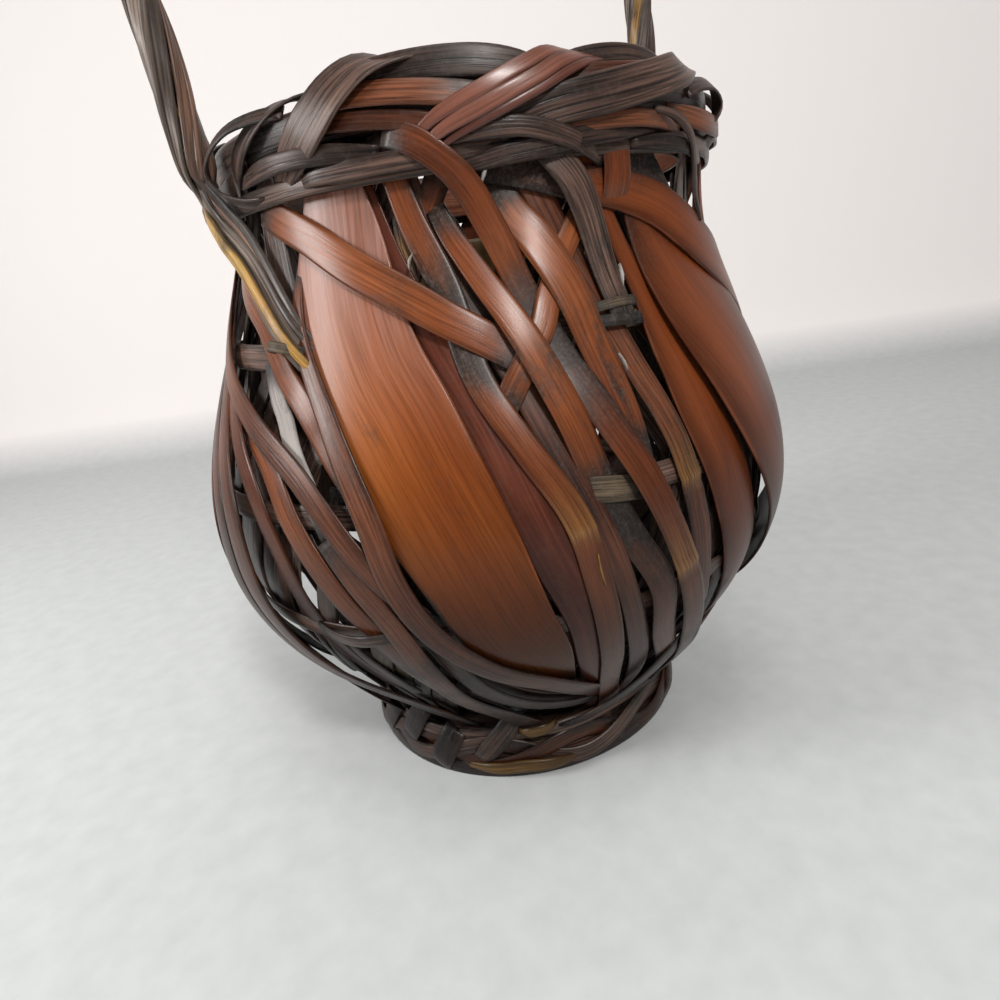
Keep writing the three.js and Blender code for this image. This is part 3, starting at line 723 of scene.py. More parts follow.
INNER_START = -5.0
INNER_RUN = [
    (34, 100), (25, 87.5), (16, 74.5), (8, 62), (0, 48), (-8, 32.5), (-15, 21), (-24, 10), (-34, 0),
]
INNER_COUNT = 8
INNER_LIFT = -3
INNER_SHARES = [2.3, 3.6, 5, 5, 3.6, 2.3]
INNER_LANES = 5
for number in range(INNER_COUNT):
    run = moved(INNER_RUN, INNER_START + number * 360 / INNER_COUNT)
    slot = "smoked" if number % 3 else "dusty"
    lanes = []
    for lane in range(INNER_LANES):
        tone = 0.15 + 0.7 * ((0.618 * (INNER_LANES * number + lane)) % 1)
        lift = INNER_LIFT - 0.35 * (lane % 2)
        lanes.append(body_strip(run, INNER_SHARES, lift, tone, lane=(lane, INNER_LANES)))
    node = f"inner_band_{number + 1}"
    add_piece(node, lanes, FINISHES[slot], [node])
# Backing strips run the other way behind the bands and close the wall, up to the rim's inner hoop.
BACKING_COUNT = 20
BACKING_LIFT = -4.2
BACKING_FOOT = 2
BACKING_TOP = 91
backing = []
for number in range(BACKING_COUNT):
    turn = 360 / BACKING_COUNT * number
    run = [
        (-0.9 * angle + turn, min(max(level, BACKING_FOOT), BACKING_TOP)) for angle, level in INNER_RUN
    ]
    tone = 0.1 + 0.8 * ((number * 0.382) % 1)
    backing.append(body_strip(run, [1.1, 1.3, 1.3, 1], BACKING_LIFT, tone))
add_piece("inner_backing_strips", backing, smoked)

# Hoops: three rings of bamboo strip, bound between the inner weave and the outer slats, that hold the
# belly's shape. Short ties over the crossing strips bind the hoops to the wall.
HOOP_WIDTH = 0.0075
HOOP_CROWN = 0.0003
HOOP_LIFT = -2
HOOP_STEPS = 240
HOOP_WAVE = 0.0006
HOOP_LIE = 0.0002
HOOPS = {"lower": 31.8, "middle": 52, "upper": 74.3}


def body_hoop(level):
    """A strip round the wall at one level. Its height and depth wave slightly as it goes round."""
    turn = np.linspace(0, 360, HOOP_STEPS + 1)
    turns = np.radians(turn[:-1, None])
    z = level_height(np.array(level), HOOP_LIFT) + HOOP_WAVE * np.sin(3 * turns + level)
    across, height = section(HOOP_WIDTH, STRIP_THICKNESS, HOOP_CROWN, NARROW_COLUMNS)
    side = across * HOOP_WIDTH / 2
    out = HOOP_LIFT * LAYER_PITCH - STRIP_THICKNESS / 2 + height + HOOP_LIE * np.sin(7 * turns + level)
    points = on_body(turn[:-1, None] + 0 * side, z + side, out)
    along = np.radians(turn) * float(body_radius(z.mean()))
    return {
        "points": points, "side": side, "along": along, "across": across, "tone": 0.6, "closed": True,
    }


for place, level in HOOPS.items():
    add_piece(f"hoop_{place}", [body_hoop(level)], smoked, [f"hoop_{place}"])
# Each tie: width, tone, and points of (angle, level, lift).
TIES = [
    (0.30, 0.8, [
        (19.5, 75.4, -1.2), (21.4, 75.3, 0.3), (25, 75.5, 0.5), (28.6, 75.5, 0.2), (30.2, 75.2, -1.4),
    ]),
    (0.40, 0.4, [
        (19.5, 73.6, -1.2), (21.4, 73.4, 0.2), (25, 73.3, 0.4), (29, 73.2, 0), (30.8, 73.2, -1.4),
    ]),
    (0.84, 0.95, [
        (10, 52.8, -1.6), (13, 52.6, -0.9), (16.5, 52.1, -0.7), (20, 51.6, -0.9), (23, 51.3, -1.6),
    ]),
    (0.34, 0.7, [
        (-38.5, 75.2, 0.4), (-36.5, 75, 3.4), (-33.5, 74.6, 3.6), (-31, 74.3, 1.8), (-28.5, 74, -0.8),
    ]),
]
TIE_THICKNESS = 0.0006
BACK_TIE = [(-5, 52, -0.8), (-2.5, 52.2, 1.6), (2.5, 51.9, 1.6), (5, 51.8, -0.8)]
BACK_TIE_START = 118
BACK_TIE_COUNT = 5
BACK_PITCH = 33
ties = []
for share, tone, points in TIES:
    ties.append(body_strip(points, [share], tone=tone, thickness=TIE_THICKNESS, crown=0.0001))
for number in range(BACK_TIE_COUNT):
    run = moved(BACK_TIE, BACK_TIE_START + BACK_PITCH * number)
    ties.append(body_strip(run, [0.7], tone=0.4 + 0.1 * number))
add_piece("hoop_ties", ties, dusty)

# Broad slats: wide splits of culm wall with the glossy skin outside, tapered at both ends so that the
# wall can draw in at the neck and the foot. They lie over the hoops and show the warmest colour.
# The broad slats' skin carries a painted sheen above the shoulder, set by its sheen share.
broad = bamboo(
    "broad_slat_skin",
    deep=(0.195, 0.0440, 0.0075), skin=(0.250, 0.0610, 0.0098), pale=(0.305, 0.0840, 0.0150),
    soot=-0.10, dust=0.02, gloss=(0.26, 0.34), coat=0.08, lines=0.20, low=0.84, burst=0.12, sheen_share=0.34,
    shine=0.17,
)
deep_red = bamboo(
    "deep_red_slat_skin",
    deep=(0.070, 0.0165, 0.0082), skin=(0.128, 0.0315, 0.0152), pale=(0.20, 0.0620, 0.0340),
    soot=-0.03, dust=0.05, worn=0.25, gloss=(0.27, 0.38), coat=0.10, lines=0.26, low=0.62, shine=0.19,
)
shaded = bamboo(
    "shaded_slat_skin",
    deep=(0.078, 0.0160, 0.0045), skin=(0.138, 0.0310, 0.0078), pale=(0.190, 0.0470, 0.0135),
    soot=-0.07, dust=0.03, worn=0.3, gloss=(0.28, 0.37), coat=0.04, lines=0.14, low=0.6, burst=0.5,
    shine=0.17,
)
SLAT_CROWN = 0.0004
# Each entry: finish, record slot, lift, tone, widths in strip widths, and points of (angle, level) or
# (angle, level, lift).
BROAD_SLATS = {
    "slat_broad_front": (broad, "red_brown", 0, 0.55, [1.5, 3.4, 4.0, 3.75, 3.4, 2.9, 1.1], [
        (-26.4, 100), (-24.6, 85), (-20, 72.5), (-13.6, 62), (-6.3, 47), (-1.2, 33.5), (3.6, 25, -0.2),
        (7.5, 17.5, -0.9),
    ]),
    "slat_red_front": (deep_red, "stained", -1, 0.5, [0.67, 0.89, 1.56, 1.56, 1.22, 0.89], [
        (-23, 100), (-16, 87.5), (-7, 74.5), (0, 62), (6, 46), (11, 33.5), (14, 22), (18.5, 10),
        (25, 0),
    ]),
    "slat_shoulder_front": (shaded, "stained", 0, 0.6, [0.6, 0.95, 1.3, 1.8, 2.1, 1.9, 1.2], [
        (2, 94.2, -1), (8, 93.4, -0.4), (15, 92.2), (24, 90.8), (32, 89.6), (40, 87.4, 0.5),
        (47, 84.2, 1.0), (54, 80.9, 1.2), (63, 77.3, 1.2), (75, 71.5, 0.8), (86, 65, -0.6),
    ]),
    "slat_broad_right": (shaded, "red_brown", -1, 0.55, [1, 3.6, 5.0, 4.9, 4.2, 2.7, 1], [
        (31, 100), (40.5, 85, -0.4), (46, 74.5, 0.6), (52, 65, 1.2), (58, 52.5, 1.2), (64, 40, 1),
        (71.5, 27, 0.6), (80.5, 15), (93, 0),
    ]),
    "slat_tapered_right": (shaded, "stained", -1, 0.75, [
        0.44, 0.5, 0.8, 2.0, 2.45, 2.45, 2.2, 1.7, 1.3, 1, 1,
    ], [
        (19.5, 100), (29.5, 83), (33.6, 75), (36.2, 67), (37.6, 60), (40, 52), (42.2, 44), (45, 36),
        (50, 24), (59, 12.5), (70, 0),
    ]),
    "slat_left": (stained, "red_brown", -1, 0.7, [0.89, 1.6, 2.5, 2.5, 1.7, 0.89], [
        (-92, 100), (-76, 82), (-63, 67, 0), (-53.5, 50, 1), (-49.5, 34, 1), (-43, 21.5, 0.6),
        (-32, 9.5), (-20.5, 0),
    ]),
}
# This slat is split in two down its length.
SPLIT_SLAT = "slat_left"
# A painted shadow darkens this slat's lower left edge, beside the strip that borders it.
SHADOWED_EDGE = "slat_broad_front"
# Where soot has gathered along a strip, in even steps from its first point.
SMUDGES = {
    "slat_shoulder_front": [0.9, 0.85, 0.5, 0.2, 0, 0, 0, 0, 0.3],
    "strip_front_1": [0, 0.3, 0.8, 0.85, 0.12, 0, 0, 0, 0, 0.1, 0.2, 0.3],
    "strip_front_2": [0.5, 0.6, 0.6, 0.5, 0.2, 0, 0, 0.3],
    "strip_front_3": [0, 0, 0, 0, 0.2, 0.75, 0.6, 0.3, 0.15, 0.1, 0.1, 0.2],
    "strip_front_4": [0, 0.05, 0.2, 0.65, 0.6, 0.2, 0, 0, 0, 0.1, 0.2, 0.3],
    "strip_front_5": [0.4, 0, 0, 0, 0, 0.2, 0.9],
    "strip_cross_front": [0.2, 0, 0, 0, 0.2, 0.45, 0.15, 0.1, 0.6],
}
for node, (finish, slot, lift, tone, shares, points) in BROAD_SLATS.items():
    lanes = 2 if node == SPLIT_SLAT else 1
    splits = []
    for lane in range(lanes):
        splits.append(body_strip(
            points, shares, lift, tone - 0.3 * lane, crown=SLAT_CROWN, lane=(lane, lanes),
            smudges=SMUDGES.get(node, (0,)),
        ))
    # Painted shadow: the slat's lower left edge is darkened through the tuck mark, where the border
    # strip shades it.
    if node == SHADOWED_EDGE:
        slat = splits[0]
        fall = np.linspace(0, 1, len(slat["along"]))[:, None]
        lower_end = np.clip((fall - 0.50) / 0.2, 0, 1)
        left_edge = np.clip((slat["across"] - 0.84) / 0.1, 0, 1)
        slat["tuck"] = np.maximum(slat["tuck"], lower_end * left_edge)
    add_piece(node, splits, finish, [node])
# The back repeats one run, which the narrow strips between these slats follow too.
BACK_START = 102
BACK_COUNT = 6
BACK_RUN = [
    (-27, 100), (-19, 85), (-12, 72.5), (-6, 60), (0, 47.5), (4, 35), (9, 22), (16, 10), (24.5, 0),
]
BACK_SHARES = [1, 2.44, 3.22, 3.22, 2.22, 1]
for number in range(BACK_COUNT):
    node = f"slat_back_{number + 1}"
    run = moved(BACK_RUN, BACK_START + number * BACK_PITCH)
    finish, slot = (deep_red, "stained") if number % 2 else (broad, "red_brown")
    joint_height = 0.062 + 0.031 * ((number * 2) % 5)
    slat = body_strip(run, BACK_SHARES, 0, 0.25 + 0.1 * number, rings=[joint_height], crown=SLAT_CROWN)
    add_piece(node, [slat], finish, [node])

# Narrow strips: split bamboo about 9 mm wide, woven over the slats and under each other, with a culm
# joint here and there. Their ends are tucked in under a neighbour.
# Each entry: slot, lift, tone, joint heights, widths and points, as for the slats.
NARROW_STRIPS = {
    "strip_front_1": ("red_brown", 0, 0.7, [0.111], [0.67, 0.89, 0.89, 0.89, 0.89, 0.89], [
        (-15.5, 100), (-10.6, 90), (-4.2, 80), (-0.8, 69), (4.7, 59.5), (10.3, 49.5), (13, 38),
        (16, 25), (19.5, 13), (28, 0),
    ]),
    "strip_front_2": ("stained", -1, 0.6, [], [0.83], [
        (-14, 100), (-8, 87.5), (-1, 78), (4.2, 70.5), (9.3, 59), (14.3, 47), (18, 35.5), (22.3, 24),
        (28.5, 11.5), (37, 0),
    ]),
    "strip_front_3": ("red_brown", 0, 0.7, [], [0.6, 0.94, 1, 1, 1, 0.94], [
        (-6, 90.5, -0.6), (-3.4, 87, 0), (-0.4, 83.5, 0.8), (2.8, 79.4, 1.5), (5.4, 75.8, 1.8),
        (7.8, 71.6, 1.8), (9.9, 67.3, 1.3), (12.4, 61.5, 0.5), (14.6, 55, -0.9), (17, 49, -1.6),
        (19.6, 43.5, -1.2), (23.5, 36), (27, 25), (35, 15), (46, 6.5), (52, 0),
    ]),
    "strip_front_4": ("red_brown", 1, 0.55, [0.094], [0.8, 0.95, 0.95, 1], [
        (-13, 99.8, 2.0), (-8, 98, 3.4), (-3.2, 94.9, 3.4), (0.2, 91.6, 2.6), (3, 88, 1.6),
        (5.8, 84, 0.8), (8.2, 79.6, 0), (10.6, 75.2, -0.4), (13.4, 69.5, -0.2), (16.2, 64, 0.6),
        (21.2, 54), (25.2, 44), (29, 34.5), (35, 22), (44, 10.5), (54, 0),
    ]),
    "strip_front_5": ("red_brown", 0, 0.85, [], [0.8, 1.05, 1.05, 1, 0.8], [
        (2.6, 95.5, -2.6), (5.2, 92.4, -1.6), (8, 88.5, -0.2), (10.6, 86, 0.6), (13, 83, 1.2),
        (15.3, 79.4, 1.5), (16.9, 75.8, 1.3), (18.3, 71.8, 0.6), (19.8, 67, 0.2), (21.3, 61.5, 0),
        (22.6, 57, -1), (23.4, 54.5, -1.8),
    ]),
    "strip_front_6": ("smoked", 1, 0.8, [], [0.8, 0.94, 0.94, 0.9], [
        (13.2, 96.6, 0.6), (15.4, 94.4, 1.6), (18, 92, 1.9), (20.2, 89.4, 1.6), (22, 86.5, 1),
        (23.2, 83.6, 0.6), (24.2, 80.5, 0.3), (25.2, 76.5, 0.2), (26, 72.9, 0),
    ]),
    "strip_front_7": ("stained", -1, 0.75, [0.118], [0.94, 0.94, 0.89], [
        (7, 100), (16, 86), (21.5, 77.5), (25.9, 67), (29.9, 56.5), (31.8, 45), (34, 31.5), (40, 19),
        (48, 9), (57, 0),
    ]),
    "strip_cross_front": ("red_brown", 1, 0.6, [], [1.02], [
        (-45, 94.2, 0.2), (-40, 92.6, 0.8), (-35, 90.8), (-30, 88.8), (-25, 86.4), (-20, 84),
        (-15, 81.7), (-10, 79.3, 1.2), (-5, 76.6, 1.3), (0, 74.1, 0.9), (3.5, 72.3, 0.3),
        (6.5, 70.6, 0.1),
    ]),
    "strip_border_front": ("stained", 1, 0.75, [], [0.3, 0.7, 0.89, 0.89, 0.89, 0.89], [
        (-34.5, 87, -1), (-33.4, 82, 0.4), (-31, 75), (-25, 64.5), (-19.5, 53), (-16.6, 43), (-12, 34),
        (-4.5, 26.5), (4, 21.5), (12, 16, 0.6), (17, 11.5, -0.8),
    ]),
    "strip_left_1": ("red_brown", -1, 0.6, [], [0.89], [
        (-73, 100), (-60, 86), (-46, 79), (-37, 71.8, -0.6), (-33, 68.7, -0.4), (-30, 65.7, -0.6),
        (-27.5, 62.6), (-22, 56),
    ]),
    "strip_left_2": ("stained", 0, 0.75, [], [0.89, 0.89, 0.78], [
        (-93, 100), (-78, 85), (-62, 73.5), (-48, 66.5), (-35, 59.5), (-28.5, 54), (-22.5, 47),
        (-17.5, 41, -0.2), (-13.5, 36, -1.4),
    ]),
    "strip_left_3": ("red_brown", -1, 0.45, [], [0.94], [
        (-50, 65.5), (-41, 59.5), (-35, 50.5), (-28, 40), (-22, 31), (-17, 20), (-9, 10), (0.5, 0),
    ]),
    "strip_left_4": ("stained", 0, 0.6, [], [0.89], [
        (-28, 49, -1), (-24, 43, -0.6), (-19, 36, 0.4), (-16, 27, 0.6), (-13, 16), (-5, 7.5), (2.5, 0),
    ]),
}
for node, (slot, lift, tone, rings, shares, points) in NARROW_STRIPS.items():
    strip = body_strip(points, shares, lift, tone, rings, smudges=SMUDGES.get(node, (0,)))
    add_piece(node, [strip], FINISHES[slot], [node])
for number in range(BACK_COUNT):
    node = f"strip_back_{number + 1}"
    run = moved(BACK_RUN, BACK_START + (number + 0.5) * BACK_PITCH)
    lift = 1 if number % 2 else -1
    strip = body_strip(run, [1], lift, 0.35 + 0.1 * number, [0.175 - 0.02 * number])
    add_piece(node, [strip], stained, [node])
# Strips that lean the other way are woven through the front and the left. A row gives widths, tone and
# points of (angle, level) or (angle, level, lift).
COUNTER_STRIPS = [
    ([0.78], 0.85, [
        (26, 92, -1.4), (22, 88.5, -0.8), (17.6, 84.2, 0.2), (15, 80.6, 0.4), (12.4, 77.1, 0.8),
        (10.5, 73.8, 0.8), (8, 71, 0.6), (5.3, 68, 0.3), (1.5, 63.5, -0.8),
    ]),
    ([0.85], 0.2, [(-4, 96, -1.6), (-7, 91.5, -1), (-9, 87, -1.4), (-13, 80, -2)]),
    ([0.85], 0.3, [
        (-62, 72, -1), (-57, 68.3, -0.4), (-52, 64.4), (-48, 60, 0.2), (-45, 56.2), (-42.2, 51, -0.6),
        (-39.6, 44, -1.6), (-37.5, 36, -2), (-35, 27, -2), (-31, 16, -2),
    ]),
]


def strips_of(rows):
    """The strips of a table of widths, tone and points."""
    return [body_strip(points, shares, tone=tone) for shares, tone, points in rows]


add_piece("counter_strips", strips_of(COUNTER_STRIPS), red_brown)
# Dark strips fill the lower left of the wall, and low wraps cross the wall's lower ends all round. Two
# more strips cross the throat at the front, and one lies on the left shoulder.
LEFT_FILL = [
    ([0.55], 0.3, [
        (-32, 58, -3.4), (-37, 46, -2.8), (-39.6, 37, -2.6), (-41, 28, -2.4), (-46, 16, -2.2),
    ]),
    ([0.7], 0.2, [(-46, 52, -3.4), (-42, 42, -3), (-37, 33, -2.6), (-32, 25, -2.2), (-26, 15, -1.8)]),
    ([0.9], 0.25, [
        (-26, 56, -3.2), (-29.5, 46, -2.8), (-32, 39, -2.6), (-36, 29, -2.5), (-42, 17, -2.3),
    ]),
    ([1.0], 0.35, [(-38, 53, -3.6), (-34, 46, -3.2), (-29.5, 38, -3), (-25, 28, -2.8), (-18, 15, -2.4)]),
    ([0.5], 0.8, [
        (-36, 32.4, -1.6), (-31, 32.2, -0.2), (-25.5, 32.6, 0.5), (-20.5, 33, -0.4), (-18.5, 33, -1.6),
    ]),
]
LOW_WRAP = [
    (3, 33, -2.4), (0, 28, -1.4), (-3, 22, -0.2), (-10, 13, 1.2), (-20, 6, 1.6), (-29, 1.2, 1.2),
]
LOW_WRAP_TURNS = (40, 78, 116, 150, 190, 228, 262, 296)
FRONT_FILL = [
    ([0.75], 0.4, [
        (-19, 42, -2.8), (-15, 33, -1.8), (-11.6, 25, -1.0), (-7.5, 18.6, -0.5), (-0.5, 13, -0.2),
        (9, 9.5, -0.2), (19, 6.8, -0.8), (27, 4, -1.8),
    ]),
    ([1.3], 0.3, [(-14, 24, -2.9), (-6, 15.5, -2.4), (4, 9.6, -2.2), (15, 5.4, -2.2), (27, 2, -2.6)]),
    ([1.1], 0.25, [
        (-45, 98.5, -0.8), (-43.4, 95, 0), (-42, 91.3, 0.4), (-39.8, 87.1, 0.5), (-36.9, 82.2, 0.3),
        (-34, 77.6, -0.2), (-32, 74, -1.4),
    ]),
]
low_wraps = []
for turn in LOW_WRAP_TURNS:
    low_wraps.append(([0.8, 1, 0.8], 0.2 + 0.6 * ((turn * 0.137) % 1), moved(LOW_WRAP, turn)))
add_piece("low_wraps", strips_of([*LEFT_FILL, *low_wraps, *FRONT_FILL]), smoked)
THROAT_STRIP = [(-17, 37, -3.0), (-10, 28, -2.5), (-2, 20.5, -2.2), (7, 15.4, -2.1), (18, 11.4, -2.4)]
add_piece("throat_strip", strips_of([([1.5], 0.45, THROAT_STRIP)]), stained)
# Slanted strips cross the shoulder at the back, and a short tab hangs from the rim on the right.
SHOULDER_WRAP = [
    (-24, 95, 0.6), (-14, 90.5, 1.2), (-2, 84.5, 2), (8, 80, 2), (15, 75, 2), (21, 71, 1.5),
    (28, 67, 0.3), (35, 63, -1.2), (43, 59.5, -1.8),
]
SHOULDER_WRAP_TURNS = (112, 176, 242)
SHOULDER_TAB = [(27.4, 99, -0.4), (28, 96.2, 0.9), (28.4, 93, 1.2), (28.4, 90, 0.7), (28.6, 87.6, -1.4)]
wraps = strips_of([([1], 0.4 + turn / 900, moved(SHOULDER_WRAP, turn)) for turn in SHOULDER_WRAP_TURNS])
tab = body_strip(SHOULDER_TAB, [0.95], tone=0.6)
tab["tuck"] = 0.15
add_piece("shoulder_wraps", [*wraps, tab], red_brown)
# A bare strip shows beside the front slat, and torn slivers stand up from the strips' edges.
BARE_STRIP = [(-13.6, 91, -1.8), (-12.4, 87, -1.2), (-11.2, 84.4, -1.2), (-9.8, 81, -1.8)]
SLIVERS = [
    ([0.02, 0.13, 0.02], 0.9, [(3.7, 94.6, 1.2), (2.9, 93.2, 2.0), (2.2, 91.8, 1.4)]),
    ([0.02, 0.09, 0.02], 0.9, [(-9.8, 85.2, 0.4), (-10.3, 84, 1.2), (-10.2, 83, 0.9)]),
    ([0.02, 0.14, 0.02], 0.95, [(27.4, 80.4, 0.2), (27.3, 78.8, 0.5), (27, 77.4, 0.2)]),
    ([0.02, 0.09, 0.02], 0.9, [(22.2, 69, 0.4), (22.7, 67.6, 0.7), (23, 66.6, 0.3)]),
    ([0.02, 0.07, 0.02], 0.9, [(12.6, 44, 0.6), (12.9, 41.6, 0.5), (13.4, 39, 0.5)]),
]
slivers = strips_of(SLIVERS)
for sliver in slivers:
    sliver["tuck"] = 0.0
bare_strip = body_strip(BARE_STRIP, [0.35, 0.45, 0.45, 0.35], tone=0.1)
add_piece("bare_strip", [bare_strip, slivers[-1]], golden)
# One strip on the left has its pale grey inner face outwards, and slivers show the same pale inside.
pale_grey = bamboo(
    "pale_inner_face",
    deep=(0.17, 0.145, 0.130), skin=(0.27, 0.240, 0.225), pale=(0.46, 0.420, 0.390),
    soot=-0.03, worn=0.0, gloss=(0.4, 0.55), coat=0.0, lines=0.25, low=0.3, burst=0.1,
)
add_piece("bare_slivers", slivers[:-1], pale_grey)
PALE_RUN = [
    (-44, 74, -2), (-40, 69, -1.4), (-37.2, 66, -1.2), (-34.5, 61, -1.2), (-31.5, 56, -1.6),
    (-28, 49, -2),
]
add_piece("pale_left_strip", strips_of([([0.8], 0.7, PALE_RUN)]), pale_grey)

# Rim: a core of bundled strip between an inner and an outer hoop. Flat strips are laced round it: they
# climb over the outer face, turn over the top and tuck in behind, and thinner bands run along below.
RIM_MIDDLE = 0.0807
HANDLE_ANGLE = -60
LEG_PRESS = 4.0
LEG_PRESS_SPAN = 11.0
RIM_LOW = 0.2175
RIM_BEND = 0.0085
RIM_HALF_DEPTH = 0.0055
RIM_THICKNESS = 0.0009
RIM_CROWN = 0.00012
core_low, core_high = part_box("rim_core")
hoop_low, hoop_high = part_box("rim_inner_hoop")
CORE_ROUND = 0.0030
core_inside = NECK_RADIUS - 0.0063
core_outside = NECK_RADIUS + 0.0017
core_top = core_high.z - 0.0006
core_profile = rounded([
    (core_inside, core_low.z), (core_outside, core_low.z), (core_outside, core_top),
    (core_inside, core_top),
], CORE_ROUND)
add_piece("rim_core", [turned(core_profile)], smoked, ["rim_core"])
HOOP_ROUND = 0.0005
hoop_inside = hoop_high.x - 0.0012
hoop_profile = rounded([
    (hoop_inside, hoop_low.z), (hoop_high.x, hoop_low.z), (hoop_high.x, hoop_high.z),
    (hoop_inside, hoop_high.z),
], HOOP_ROUND)
add_piece("rim_inner_hoop", [turned(hoop_profile)], stained, ["rim_inner_hoop"])


def rim_strip(points, width, tone, roll=1.0):
    """A strip laced on the rim through points of (angle, height, radius), in millimetres. It faces away
    from the rim's middle: straight out below the middle's height, and turning up and over above it.
    The roll scales that turn. Where a leg of the handle stands, the strips are pressed in by a bell
    curve."""
    degrees, height, radius = np.array(points, float).T
    from_leg = (degrees - HANDLE_ANGLE + 90) % 180 - 90
    radius = radius - LEG_PRESS * bell(from_leg, LEG_PRESS_SPAN)
    height, radius = height / 1000, radius / 1000
    line, out = round_line(degrees, radius, height)
    facing = out * ((radius - RIM_MIDDLE) / RIM_HALF_DEPTH**2)[:, None]
    facing[:, 2] = roll * np.clip(height - RIM_LOW, 0, None) / RIM_BEND**2
    widths = [width * 0.6, width, width, width, width * 0.6]
    return free_strip(line, unit(facing), widths, RIM_THICKNESS, RIM_CROWN, tone)


OUTER_HOOP_WIDTH = 0.0056
OUTER_HOOP_RADIUS = 0.0853
OUTER_HOOP_HEIGHT = 0.2070
outer_line, outer_facing = round_line(around, OUTER_HOOP_RADIUS + wave(0.0007, 9), OUTER_HOOP_HEIGHT)
outer_hoop = free_strip(outer_line, outer_facing, OUTER_HOOP_WIDTH, 0.0012, 0.0003, 0.55, closed=True)
add_piece("rim_outer_hoop", [outer_hoop], smoked, ["rim_outer_hoop"])
polished = bamboo(
    "polished_rim_skin",
    deep=(0.072, 0.0200, 0.0120), skin=(0.125, 0.0370, 0.0220), pale=(0.20, 0.0700, 0.0440),
    soot=-0.04, dust=0.05, worn=0.25, gloss=(0.27, 0.37), coat=0.22, lines=0.30, low=0.6, shine=0.4,
)
# Each strip: width in millimetres, tone, and points of (angle, height, radius).
RIM_CLIMBERS = [
    (10.8, 0.75, [
        (-37, 206, 84.4), (-34.5, 210, 86), (-29.8, 214.4, 88.2), (-25, 219.6, 89.4),
        (-19.5, 226.2, 88.8), (-14.5, 230.4, 85.6), (-8, 230.2, 81), (-3, 227, 77.6), (1, 222, 76),
    ]),
    (9.5, 0.8, [
        (5, 211.5, 85.4), (14, 215, 88.6), (24, 217.5, 89.8), (34, 220.5, 89.8), (43, 224, 88.4),
        (50, 227, 84.2), (57, 226, 80), (62, 222, 77),
    ]),
    (6.0, 0.5, [
        (-60, 206, 84.6), (-53, 211, 86.6), (-47, 217, 87.6), (-41, 223, 86.6), (-34, 227.6, 83),
        (-26, 227.4, 79.4), (-21, 222, 77),
    ]),
]
RIM_TOPS = [
    (7.4, 0.5, [
        (-33, 218, 83.4), (-27, 223.4, 84.4), (-18, 227, 85), (-8, 228.2, 85.2), (2, 227.6, 85.2),
        (11, 225.4, 85), (19, 221, 84.2),
    ]),
    (6.2, 0.7, [
        (-30, 219, 81), (-20, 225, 82), (-10, 228.8, 83), (0, 229.2, 83.2), (10, 227.4, 83),
        (18, 224, 82),
    ]),
    (5.0, 0.4, [(12, 222, 82.6), (20, 226, 83.4), (30, 228, 83.8), (40, 227, 83.4), (48, 222.5, 82)]),
]
RIM_GLOSSY = [
    (3.9, 0.9, [
        (-9, 211.5, 86), (-4, 216, 88.8), (4, 220.6, 90), (11, 225, 89), (16, 227.8, 86), (23, 228, 81),
        (31, 226, 77),
    ]),
    (3.9, 0.7, [
        (-8, 208.6, 86), (-3, 213, 89), (5.5, 217.6, 90.4), (12.5, 221.9, 90), (17.5, 225.4, 87.6),
        (24, 227.3, 83), (32, 226.5, 78.4),
    ]),
    (2.2, 0.4, [
        (-6.6, 206.6, 86), (-2, 210.6, 88.6), (6.5, 215.2, 90.3), (13.5, 219.4, 90.2),
        (18.6, 223, 88.6), (25, 226, 84.6), (33, 226.8, 80),
    ]),
]
RIM_BANDS = [
    (5.0, 0.5, [
        (-49, 212, 86.4), (-38, 212.8, 88.6), (-30, 213, 89.2), (-22, 212.3, 88), (-14, 211.2, 85.6),
    ]),
    (5.2, 0.6, [
        (-31, 207.4, 85.6), (-26, 208, 87.4), (-15, 208, 87.7), (-7, 208.2, 87), (0, 208.6, 86.4),
        (7, 209.2, 85.6),
    ]),
    (5.0, 0.55, [
        (-6, 211, 86), (2, 212, 88.5), (10, 211.5, 89.3), (17, 208.6, 88.6), (21, 206, 86.8),
        (25.5, 203, 83.2),
    ]),
    (5.0, 0.4, [
        (-3, 204.2, 85.4), (6, 206, 87.3), (14, 207.2, 87.9), (22, 208.8, 87.6), (30, 209.8, 86.4),
        (37, 210.4, 85.6),
    ]),
    (4.2, 0.5, [
        (31, 206.4, 85.6), (36, 206.6, 87.2), (43, 206.3, 87.5), (50, 205, 87), (56, 203.2, 85.2),
    ]),
]
RIM_TAIL = [
    (36, 214.6, 87.6), (41, 212.8, 88.8), (46, 208.4, 88.9), (49.5, 202, 87.6), (52, 194, 86.8),
    (54, 186, 88.2),
]
RIM_REDS = [
    (6.2, 0.6, [
        (-31, 223, 83.6), (-24, 224, 86), (-16, 223.8, 87.4), (-6, 222, 87.8), (4, 219.4, 87),
        (14, 216.6, 85.4),
    ]),
    (4.6, 0.5, [
        (-33, 218.6, 84.4), (-26, 219.6, 86.6), (-18, 218.6, 87.6), (-9, 216.6, 87.6),
        (-1, 213.8, 86.6), (6, 211, 84.6),
    ]),
    (4.6, 0.7, [(9, 210.6, 85), (18, 211.4, 87.4), (29, 212.2, 88), (37, 212, 87.2), (46, 210.2, 85)]),
    (5.0, 0.6, [(14, 222.6, 85), (24, 222.6, 87.2), (33, 223.4, 87), (40, 225, 84.6), (48, 225, 80.8)]),
    (6.0, 0.75, [
        (42, 215.2, 85.2), (52, 213, 87.8), (60, 212.4, 88.4), (68, 213.6, 87.8), (78, 216, 85.2),
    ]),
]
RIM_TURNS = (0, 118, 236)


